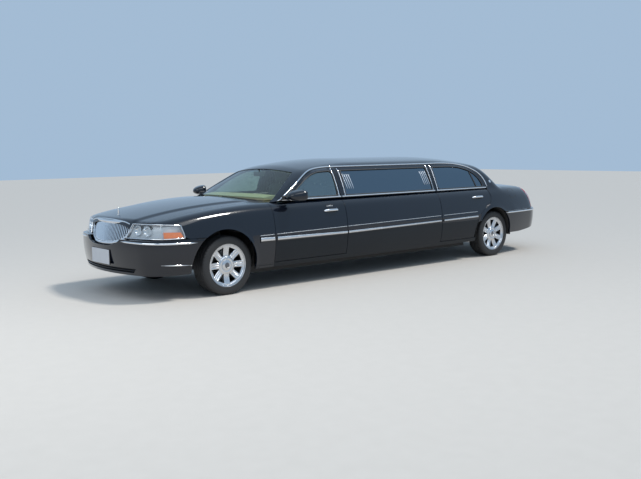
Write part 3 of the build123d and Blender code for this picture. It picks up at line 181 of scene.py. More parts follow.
PAINT = coated("paint", (0.002, 0.004, 0.009), (0.0035, 0.0065, 0.014), 0.18)
CLADDING = coated("cladding", (0.004, 0.007, 0.011), (0.007, 0.011, 0.016), 0.34, 0.3)
CHROME = shiny("chrome", (0.82, 0.83, 0.85), (0.9, 0.91, 0.93), 0.07)
ALLOY = shiny("alloy", (0.62, 0.63, 0.65), (0.76, 0.77, 0.79), 0.24)
DARK_ALLOY = shiny("dark_alloy", (0.16, 0.16, 0.17), (0.24, 0.24, 0.25), 0.4)
STEEL = shiny("steel", (0.35, 0.35, 0.36), (0.5, 0.5, 0.5), 0.38)
TYRE = grainy("tyre", (0.016, 0.016, 0.017), (0.03, 0.03, 0.031), 0.62, 70, 0.35, 0.0008)
PLASTIC = grainy("plastic", (0.012, 0.012, 0.013), (0.022, 0.022, 0.023), 0.5, 140, 0.25, 0.0005)
UNDER = grainy("underbody", (0.018, 0.018, 0.018), (0.035, 0.034, 0.032), 0.75, 30, 0.4, 0.001)
CAST = grainy("cast", (0.09, 0.09, 0.09), (0.16, 0.16, 0.155), 0.6, 40, 0.5, 0.001, 0.6)
TRIM = grainy("trim", (0.36, 0.3, 0.2), (0.46, 0.39, 0.27), 0.62, 120, 0.3, 0.0006)
DARK_TRIM = grainy("dark_trim", (0.03, 0.028, 0.025), (0.05, 0.046, 0.04), 0.6, 120, 0.3, 0.0006)
LEATHER = grainy("leather", (0.02, 0.018, 0.017), (0.038, 0.034, 0.03), 0.46, 160, 0.4, 0.0008)
PLATE = grainy("plate", (0.5, 0.51, 0.53), (0.58, 0.59, 0.61), 0.5, 20, 0.05, 0.0004)
CLEAR_GLASS = see_through("clear_glass", (0.84, 0.93, 0.85), 0.97)
TINT_GLASS = see_through("tint_glass", (0.56, 0.66, 0.68), 0.95, 2.8, (0.68, 0.9, 1.0))
DARK_GLASS = see_through("dark_glass", (0.03, 0.042, 0.055), 0.75, 2.7, (0.58, 0.8, 1.0))
LENS = see_through("lens", (0.95, 0.96, 0.97), 0.95)
REFLECTOR = shiny("reflector", (0.72, 0.74, 0.76), (0.86, 0.88, 0.9), 0.1, 30)
LAMP_SHELL = coated("lamp_shell", (0.5, 0.53, 0.55), (0.62, 0.65, 0.67), 0.3)
AMBER = coated("amber", (0.75, 0.16, 0.02), (0.9, 0.24, 0.04), 0.25)
RED = coated("red", (0.34, 0.008, 0.012), (0.5, 0.014, 0.02), 0.15)


# Form of the body: each function is negative inside and about a distance in metres
def smax(a, b, k):
    """The greater of two values, with the change between them rounded over k"""
    h = np.maximum(k - np.abs(a - b), 0) / k
    return np.maximum(a, b) + h * h * k * 0.25


def smin(a, b, k):
    return -smax(-a, -b, k)


def step(t):
    t = np.clip(t, 0, 1)
    return t * t * (3 - 2 * t)


def crown(y, r):
    """How far an arc of radius r has fallen back at y"""
    return r - np.sqrt(np.maximum(r * r - y * y, 0.01))


# Plan of each end: radius along the side, heading after it, radius of the corner, heading after it
PLAN = {1: (8.0, 7, 0.390, 72), -1: (6.5, 9, 0.5, 75)}
SIDE_Z = 0.6
SIDE_R_ABOVE = 0.976
SIDE_R_BELOW = 1.085
NOSE_LEAN = math.radians(75)
NOSE_R = 2.09
TAIL_LEAN = math.radians(64)
TAIL_R = 2.4
DECK_CROWN = 7.3
ARCH_R_FRONT = 0.418
ARCH_R_REAR = 0.4
FRONT_ARCH = (front(-0.06), WHEEL_Z)
REAR_ARCH = (rear(-0.048), WHEEL_Z)
LIP_OUT = 0.006
LIP_WIDTH = 0.022


def plan_dist(x, y):
    """Distance to the body's outline seen from above"""
    y = np.abs(y)
    d = y - HALF
    for end, (side_r, side_turn, corner_r, corner_turn) in PLAN.items():
        a, b = math.radians(side_turn), math.radians(corner_turn)
        left = HALF - side_r * (1 - math.cos(a)) - corner_r * (math.cos(a) - math.cos(b))
        end_r = left / math.cos(b)
        end_x = NOSE - end_r
        corner = (end_x + (end_r - corner_r) * math.sin(b), (end_r - corner_r) * math.cos(b))
        side = (corner[0] - (side_r - corner_r) * math.sin(a), corner[1] - (side_r - corner_r) * math.cos(a))
        px = x * end
        on_side_arc = np.arctan2(px - side[0], y - side[1]) <= a
        on_end_arc = np.arctan2(px - end_x, y) >= b
        to_side = np.hypot(px - side[0], y - side[1]) - side_r
        to_corner = np.hypot(px - corner[0], y - corner[1]) - corner_r
        to_end = np.hypot(px - end_x, y) - end_r
        d = np.where(px > side[0], np.where(on_end_arc, to_end, np.where(on_side_arc, to_side, to_corner)), d)
    return d


def side_inset(z):
    return crown(z - SIDE_Z, np.where(z < SIDE_Z, SIDE_R_BELOW, SIDE_R_ABOVE))


def arc_z(x, p, slope, q):
    """Height of the arc that leaves p with a slope and reaches q"""
    n = Vector((slope, -1)).normalized()
    v = Vector((q[0] - p[0], q[1] - p[1]))
    r = v.length_squared / (2 * v.dot(n))
    cx, cz = p[0] + n.x * r, p[1] + n.y * r
    return cz + np.sqrt(np.maximum(r * r - (x - cx) ** 2, 0.01))


def path_z(x, p, q, ahead, behind):
    """A straight line between two places with a tangent arc at each end: ahead is past p"""
    slope = (q[1] - p[1]) / (q[0] - p[0])
    line = p[1] + slope * (x - p[0])
    z = np.where(x > p[0], arc_z(x, p, slope, ahead), line)
    return np.where(x < q[0], arc_z(x, q, slope, behind), z)


def hood_bulge(x, y):
    """The raised middle of the hood, which widens towards the windshield"""
    d = front(0) - x
    edge = 0.5 + 0.13 * step((d + 0.95) / 1.5)
    fade = step((0.62 - d) / 0.3) * step((d + 1.25) / 0.2)
    return 0.016 * step((edge + 0.03 - np.abs(y)) / 0.06) * fade


def top_form(x, y, z):
    z0 = path_z(x, (front(0.55), 1.052), (rear(-0.069), 1.075), (front(-1.25), 0.8), (rear(1.5), 0.955))
    return z - z0 + crown(y, DECK_CROWN) - hood_bulge(x, y)


def leaning_face(x, y, z, foot, foot_z, radius, lean, facing):
    """A crowned face that leans back from its foot: facing 1 looks forward, -1 back"""
    face = foot - facing * crown(y, radius) - facing * (z - foot_z) / math.tan(lean)
    return (x - face) * facing * math.sin(lean)


def nose_form(x, y, z):
    return leaning_face(x, y, z, front(-1.05), 0.678, NOSE_R, NOSE_LEAN, 1)


def tail_form(x, y, z):
    return leaning_face(x, y, z, rear(1.345), 0.664, TAIL_R, TAIL_LEAN, -1)


def arch_lip(x, z):
    """Lip that stands out a little round the wheel arches"""
    f = np.hypot(x - FRONT_ARCH[0], z - FRONT_ARCH[1]) - ARCH_R_FRONT
    r = np.hypot(x - REAR_ARCH[0], z - REAR_ARCH[1]) - ARCH_R_REAR
    near = np.minimum(np.abs(f), np.abs(r))
    return LIP_OUT * np.exp(-((near / LIP_WIDTH) ** 2))


def lower(x, y, z):
    """The body below the windows, whose shoulder grows rounder towards the tail"""
    side = plan_dist(x, y) + side_inset(z) - arch_lip(x, z)
    v = smax(side, top_form(x, y, z), 0.1 + 0.06 * step((rear(0.1) - x) / 0.6))
    v = smax(v, nose_form(x, y, z), 0.05)
    return smax(v, tail_form(x, y, z), 0.25)


def bumper(x, y, z):
    return plan_dist(x, y) + side_inset(z)


def circle3(a, b, c):
    """Centre and radius of the circle through three points"""
    m = Matrix(((b[0] - a[0], b[1] - a[1]), (c[0] - a[0], c[1] - a[1])))
    k = Vector((
        (b[0] ** 2 + b[1] ** 2 - a[0] ** 2 - a[1] ** 2) / 2,
        (c[0] ** 2 + c[1] ** 2 - a[0] ** 2 - a[1] ** 2) / 2,
    ))
    p = m.inverted() @ k
    return p.x, p.y, math.hypot(a[0] - p.x, a[1] - p.y)


# Section of the cabin's side, from the belt over the windows to the roof, as an arc through three points
LEAN = math.atan2(0.199, 0.398)
LOW_LEAN = (0.903, 0.93)
MID_LEAN = (0.7885 + 0.014 * math.cos(LEAN), 1.199 + 0.014 * math.sin(LEAN))
HIGH_LEAN = (0.593, 1.56)
LEAN_Y, LEAN_Z, LEAN_R = circle3(LOW_LEAN, MID_LEAN, HIGH_LEAN)
GLASS_Z = 1.02
GLASS_F = math.radians(26)
GLASS_R = math.radians(24)


def lean_form(y, z):
    return np.hypot(np.abs(y) - LEAN_Y, z - LEAN_Z) - LEAN_R


def roof_form(x, y, z):
    z0 = path_z(x, (front(2.2), 1.501), (rear(-1.27), 1.501), (front(0.9), 1.35), (rear(0.35), 1.33))
    return z - z0 + crown(y, 3.0)


def glass_f_form(x, y, z):
    return leaning_face(x, y, z, front(0.405), GLASS_Z, 1.35, GLASS_F, 1)


def glass_r_form(x, y, z):
    """The rear glass, which stands steeper towards the pillars"""
    steeper = step((np.abs(y) - 0.3) / 0.4) * (1.26 - z)
    return leaning_face(x - steeper, y, z, rear(0.7), GLASS_Z, 1.5, GLASS_R, -1)


def upper(x, y, z):
    """The cabin above the belt"""
    v = smax(lean_form(y, z), roof_form(x, y, z), 0.09)
    v = smax(v, glass_f_form(x, y, z), 0.03)
    return smax(v, glass_r_form(x, y, z), 0.05)


def whole(x, y, z):
    return smin(lower(x, y, z), upper(x, y, z), 0.025)


def sunk(form, depth):
    return lambda x, y, z: form(x, y, z) + depth


# Rays, and ways to flatten a surface
REACH = 3.0


def hit(form, origin, heading):
    """Where rays that start inside leave the form"""
    low = np.zeros(len(origin))
    high = np.full(len(origin), REACH)
    for _ in range(26):
        mid = (low + high) / 2
        p = origin + heading * mid[:, None]
        out = form(p[:, 0], p[:, 1], p[:, 2]) > 0
        high = np.where(out, mid, high)
        low = np.where(out, low, mid)
    return origin + heading * low[:, None]


def normals(form, p):
    e = 1e-4
    g = np.zeros_like(p)
    for i in range(3):
        a, b = p.copy(), p.copy()
        a[:, i] += e
        b[:, i] -= e
        g[:, i] = form(*a.T) - form(*b.T)
    return g / np.maximum(np.linalg.norm(g, axis=1), 1e-9)[:, None]


class Roll:
    """Rays in planes across the car, from a line along it"""

    def __init__(self, y, z, scale=0.7):
        self.y, self.z, self.scale = y, z, scale

    def flat(self, p):
        return np.stack([p[:, 0], self.scale * np.arctan2(p[:, 1] - self.y, p[:, 2] - self.z)], 1)

    def rays(self, uv):
        a = uv[:, 1] / self.scale
        o = np.stack([uv[:, 0], np.full(len(uv), self.y), np.full(len(uv), self.z)], 1)
        return o, np.stack([np.zeros(len(uv)), np.sin(a), np.cos(a)], 1)


class Yaw:
    """Level rays from an upright line, facing forwards with facing 1 and backwards with -1"""

    def __init__(self, x, facing, scale=1.0, y=0.0):
        self.x, self.facing, self.scale, self.y = x, facing, scale, y

    def flat(self, p):
        a = np.arctan2(p[:, 1] - self.y, (p[:, 0] - self.x) * self.facing)
        return np.stack([a * self.scale, p[:, 2]], 1)

    def rays(self, uv):
        a = uv[:, 0] / self.scale
        o = np.stack([np.full(len(uv), self.x), np.full(len(uv), self.y), uv[:, 1]], 1)
        return o, np.stack([np.cos(a) * self.facing, np.sin(a), np.zeros(len(uv))], 1)


class Pitch:
    """Rays in planes along the car, from a line across it"""

    def __init__(self, x, z, scale=0.4):
        self.x, self.z, self.scale = x, z, scale

    def flat(self, p):
        return np.stack([self.scale * np.arctan2(p[:, 0] - self.x, p[:, 2] - self.z), p[:, 1]], 1)

    def rays(self, uv):
        a = uv[:, 0] / self.scale
        o = np.stack([np.full(len(uv), self.x), uv[:, 1], np.full(len(uv), self.z)], 1)
        return o, np.stack([np.sin(a), np.zeros(len(uv)), np.cos(a)], 1)


class Top:
    """Upright rays"""

    def __init__(self, z=0.7):
        self.z = z

    def flat(self, p):
        return p[:, :2].copy()

    def rays(self, uv):
        o = np.column_stack([uv, np.full(len(uv), self.z)])
        return o, np.tile((0.0, 0.0, 1.0), (len(uv), 1))


class Ball:
    """Rays in all directions from a point, for a corner of the body"""

    def __init__(self, at, facing=-1, scale=0.4):
        self.at, self.facing, self.scale = np.array(at, float), facing, scale

    def flat(self, p):
        d = p - self.at
        a = np.arctan2(d[:, 1], d[:, 0] * self.facing)
        e = np.arctan2(d[:, 2], np.hypot(d[:, 0], d[:, 1]))
        return np.stack([a, e], 1) * self.scale

    def rays(self, uv):
        a, e = uv[:, 0] / self.scale, uv[:, 1] / self.scale
        h = np.stack([np.cos(e) * np.cos(a) * self.facing, np.cos(e) * np.sin(a), np.sin(e)], 1)
        return np.tile(self.at, (len(uv), 1)), h


def cast(form, flat, axis, start, sign=1.0):
    """Flat points carried along an axis, from a start inside, to the face of a form"""
    flat = np.array(flat, float)
    heading = np.zeros(3)
    heading[axis] = sign
    return hit(form, np.insert(flat, axis, start, axis=1), np.tile(heading, (len(flat), 1)))


def on_side(form, xz, y=0.3):
    return cast(form, xz, 1, y)


def on_top(form, xy, z=0.7):
    return cast(form, xy, 2, z)


def on_end(form, yz, x, facing):
    return cast(form, yz, 0, x, facing)


def angle_of(way, p):
    return way.flat(p[None])[0][0] / way.scale


def plan_line(form, way, a_from, a_to, z, n):
    """A line of points round the end of the body, between two angles, level unless z is a row of heights"""
    ang = np.linspace(a_from, a_to, n)
    return hit(form, *way.rays(np.column_stack([ang * way.scale, np.full(n, z)])))


# Lines and loops
def dense(points, gap=0.02):
    """A line of points with more between them"""
    out = []
    for a, b in zip(points[:-1], points[1:]):
        a, b = np.array(a, float), np.array(b, float)
        n = max(1, int(math.ceil(np.linalg.norm(b - a) / gap)))
        out += [a + (b - a) * i / n for i in range(n)]
    out.append(np.array(points[-1], float))
    return np.array(out)


def ring(points, gap=0.02):
    """The same for a closed line"""
    points = list(points)
    return dense(points + [points[0]], gap)[:-1]


def smooth(points, gap=0.02):
    """A flowing curve through points"""
    p = [np.array(q, float) for q in points]
    p = [2 * p[0] - p[1]] + p + [2 * p[-1] - p[-2]]
    out = []
    for i in range(1, len(p) - 2):
        n = max(2, int(np.linalg.norm(p[i + 1] - p[i]) / gap))
        for j in range(n):
            t = j / n
            out.append(0.5 * (
                2 * p[i] + (p[i + 1] - p[i - 1]) * t
                + (2 * p[i - 1] - 5 * p[i] + 4 * p[i + 1] - p[i + 2]) * t * t
                + (3 * p[i] - p[i - 1] - 3 * p[i + 1] + p[i + 2]) * t ** 3
            ))
    out.append(p[-2])
    return np.array(out)


def rounded(points, radius, n=5):
    """A closed line of points with its corners rounded"""
    out = []
    for i in range(len(points)):
        a, p, b = (np.array(points[j % len(points)], float) for j in (i - 1, i, i + 1))
        r = min(radius, np.linalg.norm(a - p) * 0.45, np.linalg.norm(b - p) * 0.45)
        s = p + (a - p) / np.linalg.norm(a - p) * r
        e = p + (b - p) / np.linalg.norm(b - p) * r
        for t in np.arange(n + 1) / n:
            out.append((1 - t) ** 2 * s + 2 * t * (1 - t) * p + t * t * e)
    return np.array(out)


def arc3(a, b, c, n=30):
    """Points of the arc through three flat points"""
    x, y, r = circle3(a, b, c)
    t0, t1, t2 = (math.atan2(p[1] - y, p[0] - x) for p in (a, b, c))
    t1 += 2 * math.pi * (t1 < t0)
    t2 += 2 * math.pi * (t2 < t0)
    if t1 > t2:
        t2 -= 2 * math.pi
    return [(x + r * math.cos(t), y + r * math.sin(t)) for t in np.linspace(t0, t2, n)]


def arch_curve(centre, radius, z_front, z_back, n=40):
    """Points round a wheel arch from its front foot to its back foot"""
    cx, cz = centre
    a = math.asin((z_front - cz) / radius)
    b = math.pi - math.asin((z_back - cz) / radius)
    return [(cx + radius * math.cos(t), cz + radius * math.sin(t)) for t in np.linspace(a, b, n)]


# Meshes
def inside(points, loops):
    """Even-odd test of flat points against closed loops"""
    x, y = points[:, 0], points[:, 1]
    odd = np.zeros(len(points), bool)
    for loop in loops:
        for (a, b), (c, d) in zip(loop, np.roll(loop, -1, 0)):
            if b != d:
                odd ^= ((b > y) != (d > y)) & (x < (c - a) * (y - b) / (d - b) + a)
    return odd


def thin_out(loop, least=0.0015):
    keep = [loop[0]]
    for p in loop[1:]:
        if np.linalg.norm(p - keep[-1]) > least:
            keep.append(p)
    while len(keep) > 3 and np.linalg.norm(keep[-1] - keep[0]) <= least:
        keep.pop()
    return np.array(keep)


def fill(loops, gap):
    """Triangles that fill flat loops, with inner points on a grid"""
    edge = np.vstack(loops)
    lo, hi = loops[0].min(0), loops[0].max(0)
    nx, ny = np.maximum(((hi - lo) / gap).astype(int), 1)
    gx, gy = np.meshgrid(np.linspace(lo[0], hi[0], nx + 1), np.linspace(lo[1], hi[1], ny + 1))
    grid = np.column_stack([gx.ravel(), gy.ravel()])
    grid = grid[inside(grid, loops)]
    if len(grid):
        away = np.ones(len(grid), bool)
        for part in np.array_split(np.arange(len(grid)), max(1, len(grid) * len(edge) // 4000000)):
            d = np.linalg.norm(grid[part][:, None, :] - edge[None, :, :], axis=2).min(1)
            away[part] = d > gap * 0.5
        grid = grid[away]
    points = np.vstack([edge, grid])
    pairs = []
    start = 0
    for loop in loops:
        n = len(loop)
        pairs += [(start + i, start + (i + 1) % n) for i in range(n)]
        start += n
    out = delaunay_2d_cdt([Vector(p) for p in points], pairs, [], 0, 1e-7)
    v = np.array([tuple(p) for p in out[0]])
    f = np.array([list(t) for t in out[2] if len(t) == 3])
    f = f[inside(v[f].mean(1), loops)]
    used = np.unique(f)
    back = np.full(len(v), -1)
    back[used] = np.arange(len(used))
    return v[used], back[f]


def solid(p, q, f):
    """A closed shell from an outer and an inner sheet, with kinds: 0 outer, 1 inner, 2 wall"""
    n = len(p)
    pairs = {}
    for a, b, c in f:
        for e in ((a, b), (b, c), (c, a)):
            pairs[e] = 1
    walls = [(b, a, a + n, b + n) for a, b in pairs if (b, a) not in pairs]
    faces = [tuple(t) for t in f] + [tuple(t[::-1] + n) for t in f] + walls
    kinds = [0] * len(f) + [1] * len(f) + [2] * len(walls)
    return np.vstack([p, q]), faces, kinds


def shell(form, way, loops, gap, depth=0.0, heading=None):
    """A panel whose outer face lies on a form, with a wall of a depth, or along a heading, behind it"""
    uv, f = fill([thin_out(way.flat(p)) for p in loops], gap)
    p = hit(form, *way.rays(uv))
    n = normals(form, p)
    t = p[f]
    c = np.cross(t[:, 1] - t[:, 0], t[:, 2] - t[:, 0])
    turn = (c * n[f[:, 0]]).sum(1) < 0
    f[turn] = f[turn][:, ::-1]
    return solid(p, p - n * depth if heading is None else p + np.array(heading), f)


def join(parts):
    """Several (points, faces, kinds) made one"""
    v, f, k = [], [], []
    base = 0
    for p, faces, kinds in parts:
        v.append(np.array(p, float))
        f += [tuple(i + base for i in face) for face in faces]
        k += list(kinds)
        base += len(p)
    return np.vstack(v), f, k


def tube(rows, n, wrap=False, start=True, end=True):
    """Points in rows of n, skinned from row to row and closed at the ends"""
    f = []
    m = len(rows)
    for i in range(m if wrap else m - 1):
        a, b = i * n, (i + 1) % m * n
        f += [(a + j, a + (j + 1) % n, b + (j + 1) % n, b + j) for j in range(n)]
    if start and not wrap:
        f.append(tuple(range(n))[::-1])
    if end and not wrap:
        f.append(tuple((m - 1) * n + j for j in range(n)))
    return np.array(rows, float).reshape(-1, 3), f, [0] * len(f)


MOULDING = [(-0.5, -0.5), (-0.5, 0.35), (-0.36, 0.8), (0.0, 1.0), (0.36, 0.8), (0.5, 0.35), (0.5, -0.5)]


def strip(points, out, width, height, taper=0.0, closed=False):
    """A half-round moulding along points, with outward normals"""
    p, n = np.array(points), np.array(out)
    t = np.roll(p, -1, 0) - np.roll(p, 1, 0) if closed else np.gradient(p, axis=0)
    t /= np.maximum(np.linalg.norm(t, axis=1), 1e-9)[:, None]
    b = np.cross(t, n)
    b /= np.maximum(np.linalg.norm(b, axis=1), 1e-9)[:, None]
    s = np.concatenate([[0], np.cumsum(np.linalg.norm(np.diff(p, axis=0), axis=1))])
    grow = np.clip(np.minimum(s, s[-1] - s) / taper, 0.12, 1) if taper else np.ones(len(p))
    rings = [
        p + b * (w * width * grow)[:, None] + n * (h * height * np.minimum(1, grow + 0.3))[:, None] for w, h in MOULDING
    ]
    return tube(np.stack(rings, 1), len(MOULDING), closed)


def box(centre, size):
    x, y, z = (c / 2 for c in size)
    v = [(a, b, c) for a in (-x, x) for b in (-y, y) for c in (-z, z)]
    f = [(0, 1, 3, 2), (4, 6, 7, 5), (0, 4, 5, 1), (2, 3, 7, 6), (0, 2, 6, 4), (1, 5, 7, 3)]
    return np.array(v) + centre, f, [0] * 6


def lathe(profile, centre, axis, n=48, closed=False, kinds=None):
    """A turned piece from a profile of (radius, distance along the axis)"""
    q = Vector(axis).normalized().to_track_quat("Z", "Y")
    m = len(profile)
    last = m if closed else m - 1
    v, f = [], []
    for i in range(n):
        t = 2 * math.pi * i / n
        v += [q @ Vector((r * math.cos(t), r * math.sin(t), h)) + Vector(centre) for r, h in profile]
        a, b = i * m, (i + 1) % n * m
        f += [(a + j, b + j, b + (j + 1) % m, a + (j + 1) % m) for j in range(last)]
    return v, f, list(kinds or [0] * last) * n


SIDES = ("left", "right")


def sided(name, side):
    """A name that ends in _ takes the side's name"""
    return name + side if name and name.endswith("_") else name


def emit(name, part, mats, body, slot, node=None, side="left", picks=None, sharp=38, edge=0.0, segments=2, angle=50):
    """A mesh object that rides on a body: on the right side it is the left one mirrored"""
    v, f, kinds = part
    v = np.array(v, float)
    if side == "right":
        v = v * (1, -1, 1)
        f = [tuple(reversed(face)) for face in f]
    mesh = bpy.data.meshes.new(name)
    mesh.from_pydata([tuple(p) for p in v], [], [tuple(int(i) for i in face) for face in f])
    for m in mats:
        mesh.materials.append(m)
    if len(mats) > 1:
        mesh.polygons.foreach_set("material_index", np.array(picks or kinds, dtype=np.int32))
    mesh.polygons.foreach_set("use_smooth", np.ones(len(mesh.polygons), bool))
    mesh.set_sharp_from_angle(angle=math.radians(sharp))
    mesh.validate()
    o = bpy.data.objects.new(name, mesh)
    bpy.context.scene.collection.objects.link(o)
    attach(o, body)
    if edge:
        b = o.modifiers.new("edges", "BEVEL")
        b.width = edge
        b.segments = segments
        b.limit_method = "ANGLE"
        b.angle_limit = math.radians(angle)
    if node:
        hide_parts(node)
    return o


def pair(name, part, mats, body, slot, node=None, **more):
    """A piece on the left and its mirror copy on the right"""
    for side in SIDES:
        emit(name + "_" + side, part, mats, sided(body, side), slot, sided(node, side), side, **more)


PANEL_EDGE = 0.0025


def panel(name, part, mats, body, node, mirrored=True, picks=None):
    make = pair if mirrored else emit
    make(name, part, mats, body, "black_paint", node, picks=picks, edge=PANEL_EDGE)


def moulding(name, points, form, body, width, height, mat=CHROME, taper=0.0, closed=False, mirrored=True, node=None):
    part = strip(points, normals(form, points), width, height, taper, closed)
    make = pair if mirrored else emit
    make(name, part, [mat], body, "chrome" if mat is CHROME else "black_plastic", node, sharp=60)


def rounded_box(name, centre, size, radius, mat, body, slot, mirrored=False):
    make = pair if mirrored else emit
    make(name, box(centre, size), [mat], body, slot, edge=radius, segments=3, angle=30)


# Side outlines of the panels: the cuts between them run straight up
GAP = 0.003
BELT = 1.016
SILL = 0.264
ROCKER = 0.318
STRIP_Z = 0.585
DOOR_TOP = 1.388
FENDER_CUT = front(0.619)
B_CUT = front(1.753)
C_CUT = rear(-1.237)
QUARTER_CUT = rear(-0.131)
PILLAR_X = rear(-0.302)
HEADER_X = rear(-0.3)
side_way = Roll(0.42, 0.62, 0.55)
upper_way = Roll(0.0, 0.9, 0.6)
front_way = Yaw(1.9, 1, 1.7)
rear_way = Yaw(-1.9, -1, 1.7)
FRONT_CURVE = smooth(from_front([
    (0.79, 1.022), (0.93, 1.105), (1.09, 1.2), (1.245, 1.287), (1.36, 1.336), (1.48, 1.366), (1.62, 1.382),
]) + [(B_CUT + GAP, DOOR_TOP)])
FRONT_WINDOW = rounded(from_front([
    (0.93, 1.045), (1.085, 1.158), (1.26, 1.264), (1.36, 1.31), (1.5, 1.344), (1.715, 1.352), (1.705, 1.045),
]), 0.05)
REAR_ARCH_EDGE = from_rear([
    (-0.11, 0.88), (-0.15, 0.8), (-0.265, 0.745), (-0.375, 0.665), (-0.455, 0.555), (-0.5, 0.43),
    (-0.508, ROCKER + GAP),
])
REAR_CURVE = smooth([(C_CUT - GAP, DOOR_TOP)] + from_rear([
    (-0.98, 1.389), (-0.79, 1.384), (-0.64, 1.374), (-0.5, 1.352), (-0.38, 1.318), (-0.27, 1.262), (-0.19, 1.195),
    (-0.143, 1.11), (-0.128, 1.03),
]))
REAR_WINDOW = rounded(from_rear([
    (-1.187, 1.045), (-1.182, 1.352), (-0.79, 1.352), (-0.6, 1.338), (-0.44, 1.298), (-0.32, 1.238),
    (-0.235, 1.152), (-0.195, 1.045),
]), 0.05)
MIDDLE_WINDOW = rounded(
    from_front([(1.84, 1.045), (1.86, 1.352)]) + from_rear([(-1.315, 1.352), (-1.295, 1.045)]), 0.025
)
BODY_MATS = [PAINT, CLADDING, DARK_TRIM]
FRAME_DEPTH = 0.045


def side_skin(low, high, window, depth, gap=0.024):
    """A panel below the belt, as deep as given, and the window frame above it"""
    frame_loops = [on_side(upper, ring(high)), on_side(upper, ring(window))]
    return join([
        shell(lower, side_way, [on_side(lower, ring(low))], gap, heading=(0, -depth, 0)),
        shell(upper, upper_way, frame_loops, 0.03, heading=(0, -FRAME_DEPTH, 0)),
    ])


def side_panel(name, part, body, node):
    """Painted, with cladding below the strip and trim on its inner face"""
    v, faces, kinds = part
    picks = [2 if k == 1 else int(np.mean([v[i][2] for i in f]) < STRIP_Z) for f, k in zip(faces, kinds)]
    panel(name, part, BODY_MATS, body, node, picks=picks)


front_low = [
    (FENDER_CUT - GAP, BELT), (FENDER_CUT - GAP, ROCKER + GAP), (B_CUT + GAP, ROCKER + GAP), (B_CUT + GAP, BELT)
]
front_high = [*FRONT_CURVE, (B_CUT + GAP, BELT), (front(0.787), BELT)]
rear_low = [
    (C_CUT - GAP, BELT), (QUARTER_CUT, BELT), *((x + GAP, z) for x, z in REAR_ARCH_EDGE), (C_CUT - GAP, ROCKER + GAP)
]
rear_high = [*REAR_CURVE, (QUARTER_CUT, BELT), (C_CUT - GAP, BELT)]
DOOR_DEPTH = 0.1
side_panel("front_door_skin", side_skin(front_low, front_high, FRONT_WINDOW, DOOR_DEPTH), "front_door_", "front_door_")
side_panel("rear_door_skin", side_skin(rear_low, rear_high, REAR_WINDOW, DOOR_DEPTH), "rear_door_", "rear_door_")

# Long side panel with its window, and the rocker below the doors
middle_low = [
    (front(0.36), SILL), (front(0.36), ROCKER - GAP), (B_CUT - GAP, ROCKER - GAP), (B_CUT - GAP, BELT),
    (C_CUT + GAP, BELT), (C_CUT + GAP, ROCKER - GAP), (rear(-0.47), ROCKER - GAP), (rear(-0.47), SILL),
]
middle_high = [(B_CUT - GAP, BELT), (B_CUT - GAP, DOOR_TOP), (C_CUT + GAP, DOOR_TOP), (C_CUT + GAP, BELT)]
side_panel("side_panel_skin", side_skin(middle_low, middle_high, MIDDLE_WINDOW, 0.034, 0.026), "body", "side_panels")

# Side glass
glass_form = sunk(upper, 0.007)
for name, window, node, body, mat, slot in (
    ("front_door_pane", FRONT_WINDOW, "front_door_glass_", "front_door_", TINT_GLASS, "clear_glass"),
    ("rear_door_pane", REAR_WINDOW, "rear_door_glass_", "rear_door_", DARK_GLASS, "dark_glass"),
    ("side_pane", MIDDLE_WINDOW, "side_windows", "body", DARK_GLASS, "dark_glass"),
):
    part = shell(glass_form, upper_way, [on_side(glass_form, ring(window))], 0.04, 0.004)
    pair(name, part, [mat], body, slot, node)

# Front fenders: from the hood's edge over the shoulder down to the sill, round the arch and the lamp
HOOD_HALF = 0.742
LAMP_TOP = 0.856
LAMP_TOP_OUT = 0.843
ARCH_TOP_F = 0.6795
crest_in = on_end(lower, [(0.49, LAMP_TOP)], 2.2, 1)[0]
crest_out = on_side(lower, [(front(-0.6), LAMP_TOP_OUT)], 0.5)[0]
crest_z = np.concatenate([np.full(30, LAMP_TOP), np.linspace(LAMP_TOP, LAMP_TOP_OUT, 30)])
lamp_crest = plan_line(
    lower, front_way, angle_of(front_way, crest_in), angle_of(front_way, crest_out), crest_z, len(crest_z)
)
hood_crest = lamp_crest[lamp_crest[:, 1] < HOOD_HALF - 0.001]
fender_crest = lamp_crest[lamp_crest[:, 1] > HOOD_HALF + GAP + 0.001]
lamp_edge = from_front([(-0.59, 0.842), (-0.546, 0.694), (-0.5, ARCH_TOP_F)])
arch = arch_curve(FRONT_ARCH, ARCH_R_FRONT, ARCH_TOP_F, SILL, 48)
fender_side = [(FENDER_CUT + GAP, 1.0), (FENDER_CUT + GAP, SILL)] + arch[::-1] + lamp_edge[::-1]
fender_top = [(fender_crest[0][0] - 0.002, HOOD_HALF + GAP), (FENDER_CUT + GAP, HOOD_HALF + GAP)]
loop = np.vstack([
    on_top(lower, dense(fender_top)), on_side(lower, dense(fender_side, 0.015), 0.5), fender_crest[::-1][1:]
])
part = shell(lower, Roll(0.5, 0.55, 0.5), [loop], 0.02, 0.02)
panel("fender_skin", part, [PAINT, CLADDING, PAINT], "body", "front_fenders")

# Hood
COWL_X = front(0.476)
hood_front = from_front([(-0.955, -0.475), (-0.965, -0.45), (-0.985, -0.2), (-0.99, 0.0)])
hood_corner = [(x - 0.002, -y) for x, y in hood_crest[::-1, :2]]
hood_outline = ring(across([(COWL_X, -HOOD_HALF), (hood_corner[0][0], -HOOD_HALF), *hood_corner, *hood_front]))
part = shell(lower, Top(), [on_top(lower, hood_outline)], 0.024, heading=(0, 0, -0.022))
panel("hood_skin", part, [PAINT, UNDER, PAINT], "hood", "hood", mirrored=False)


# Roof with the front pillars
def crossing(form, x, y, gap=0.03):
    """Points on top of a form, straight across from y to -y, without the two ends"""
    return on_top(form, dense([(x, y), (x, -y)], gap))[1:-1]


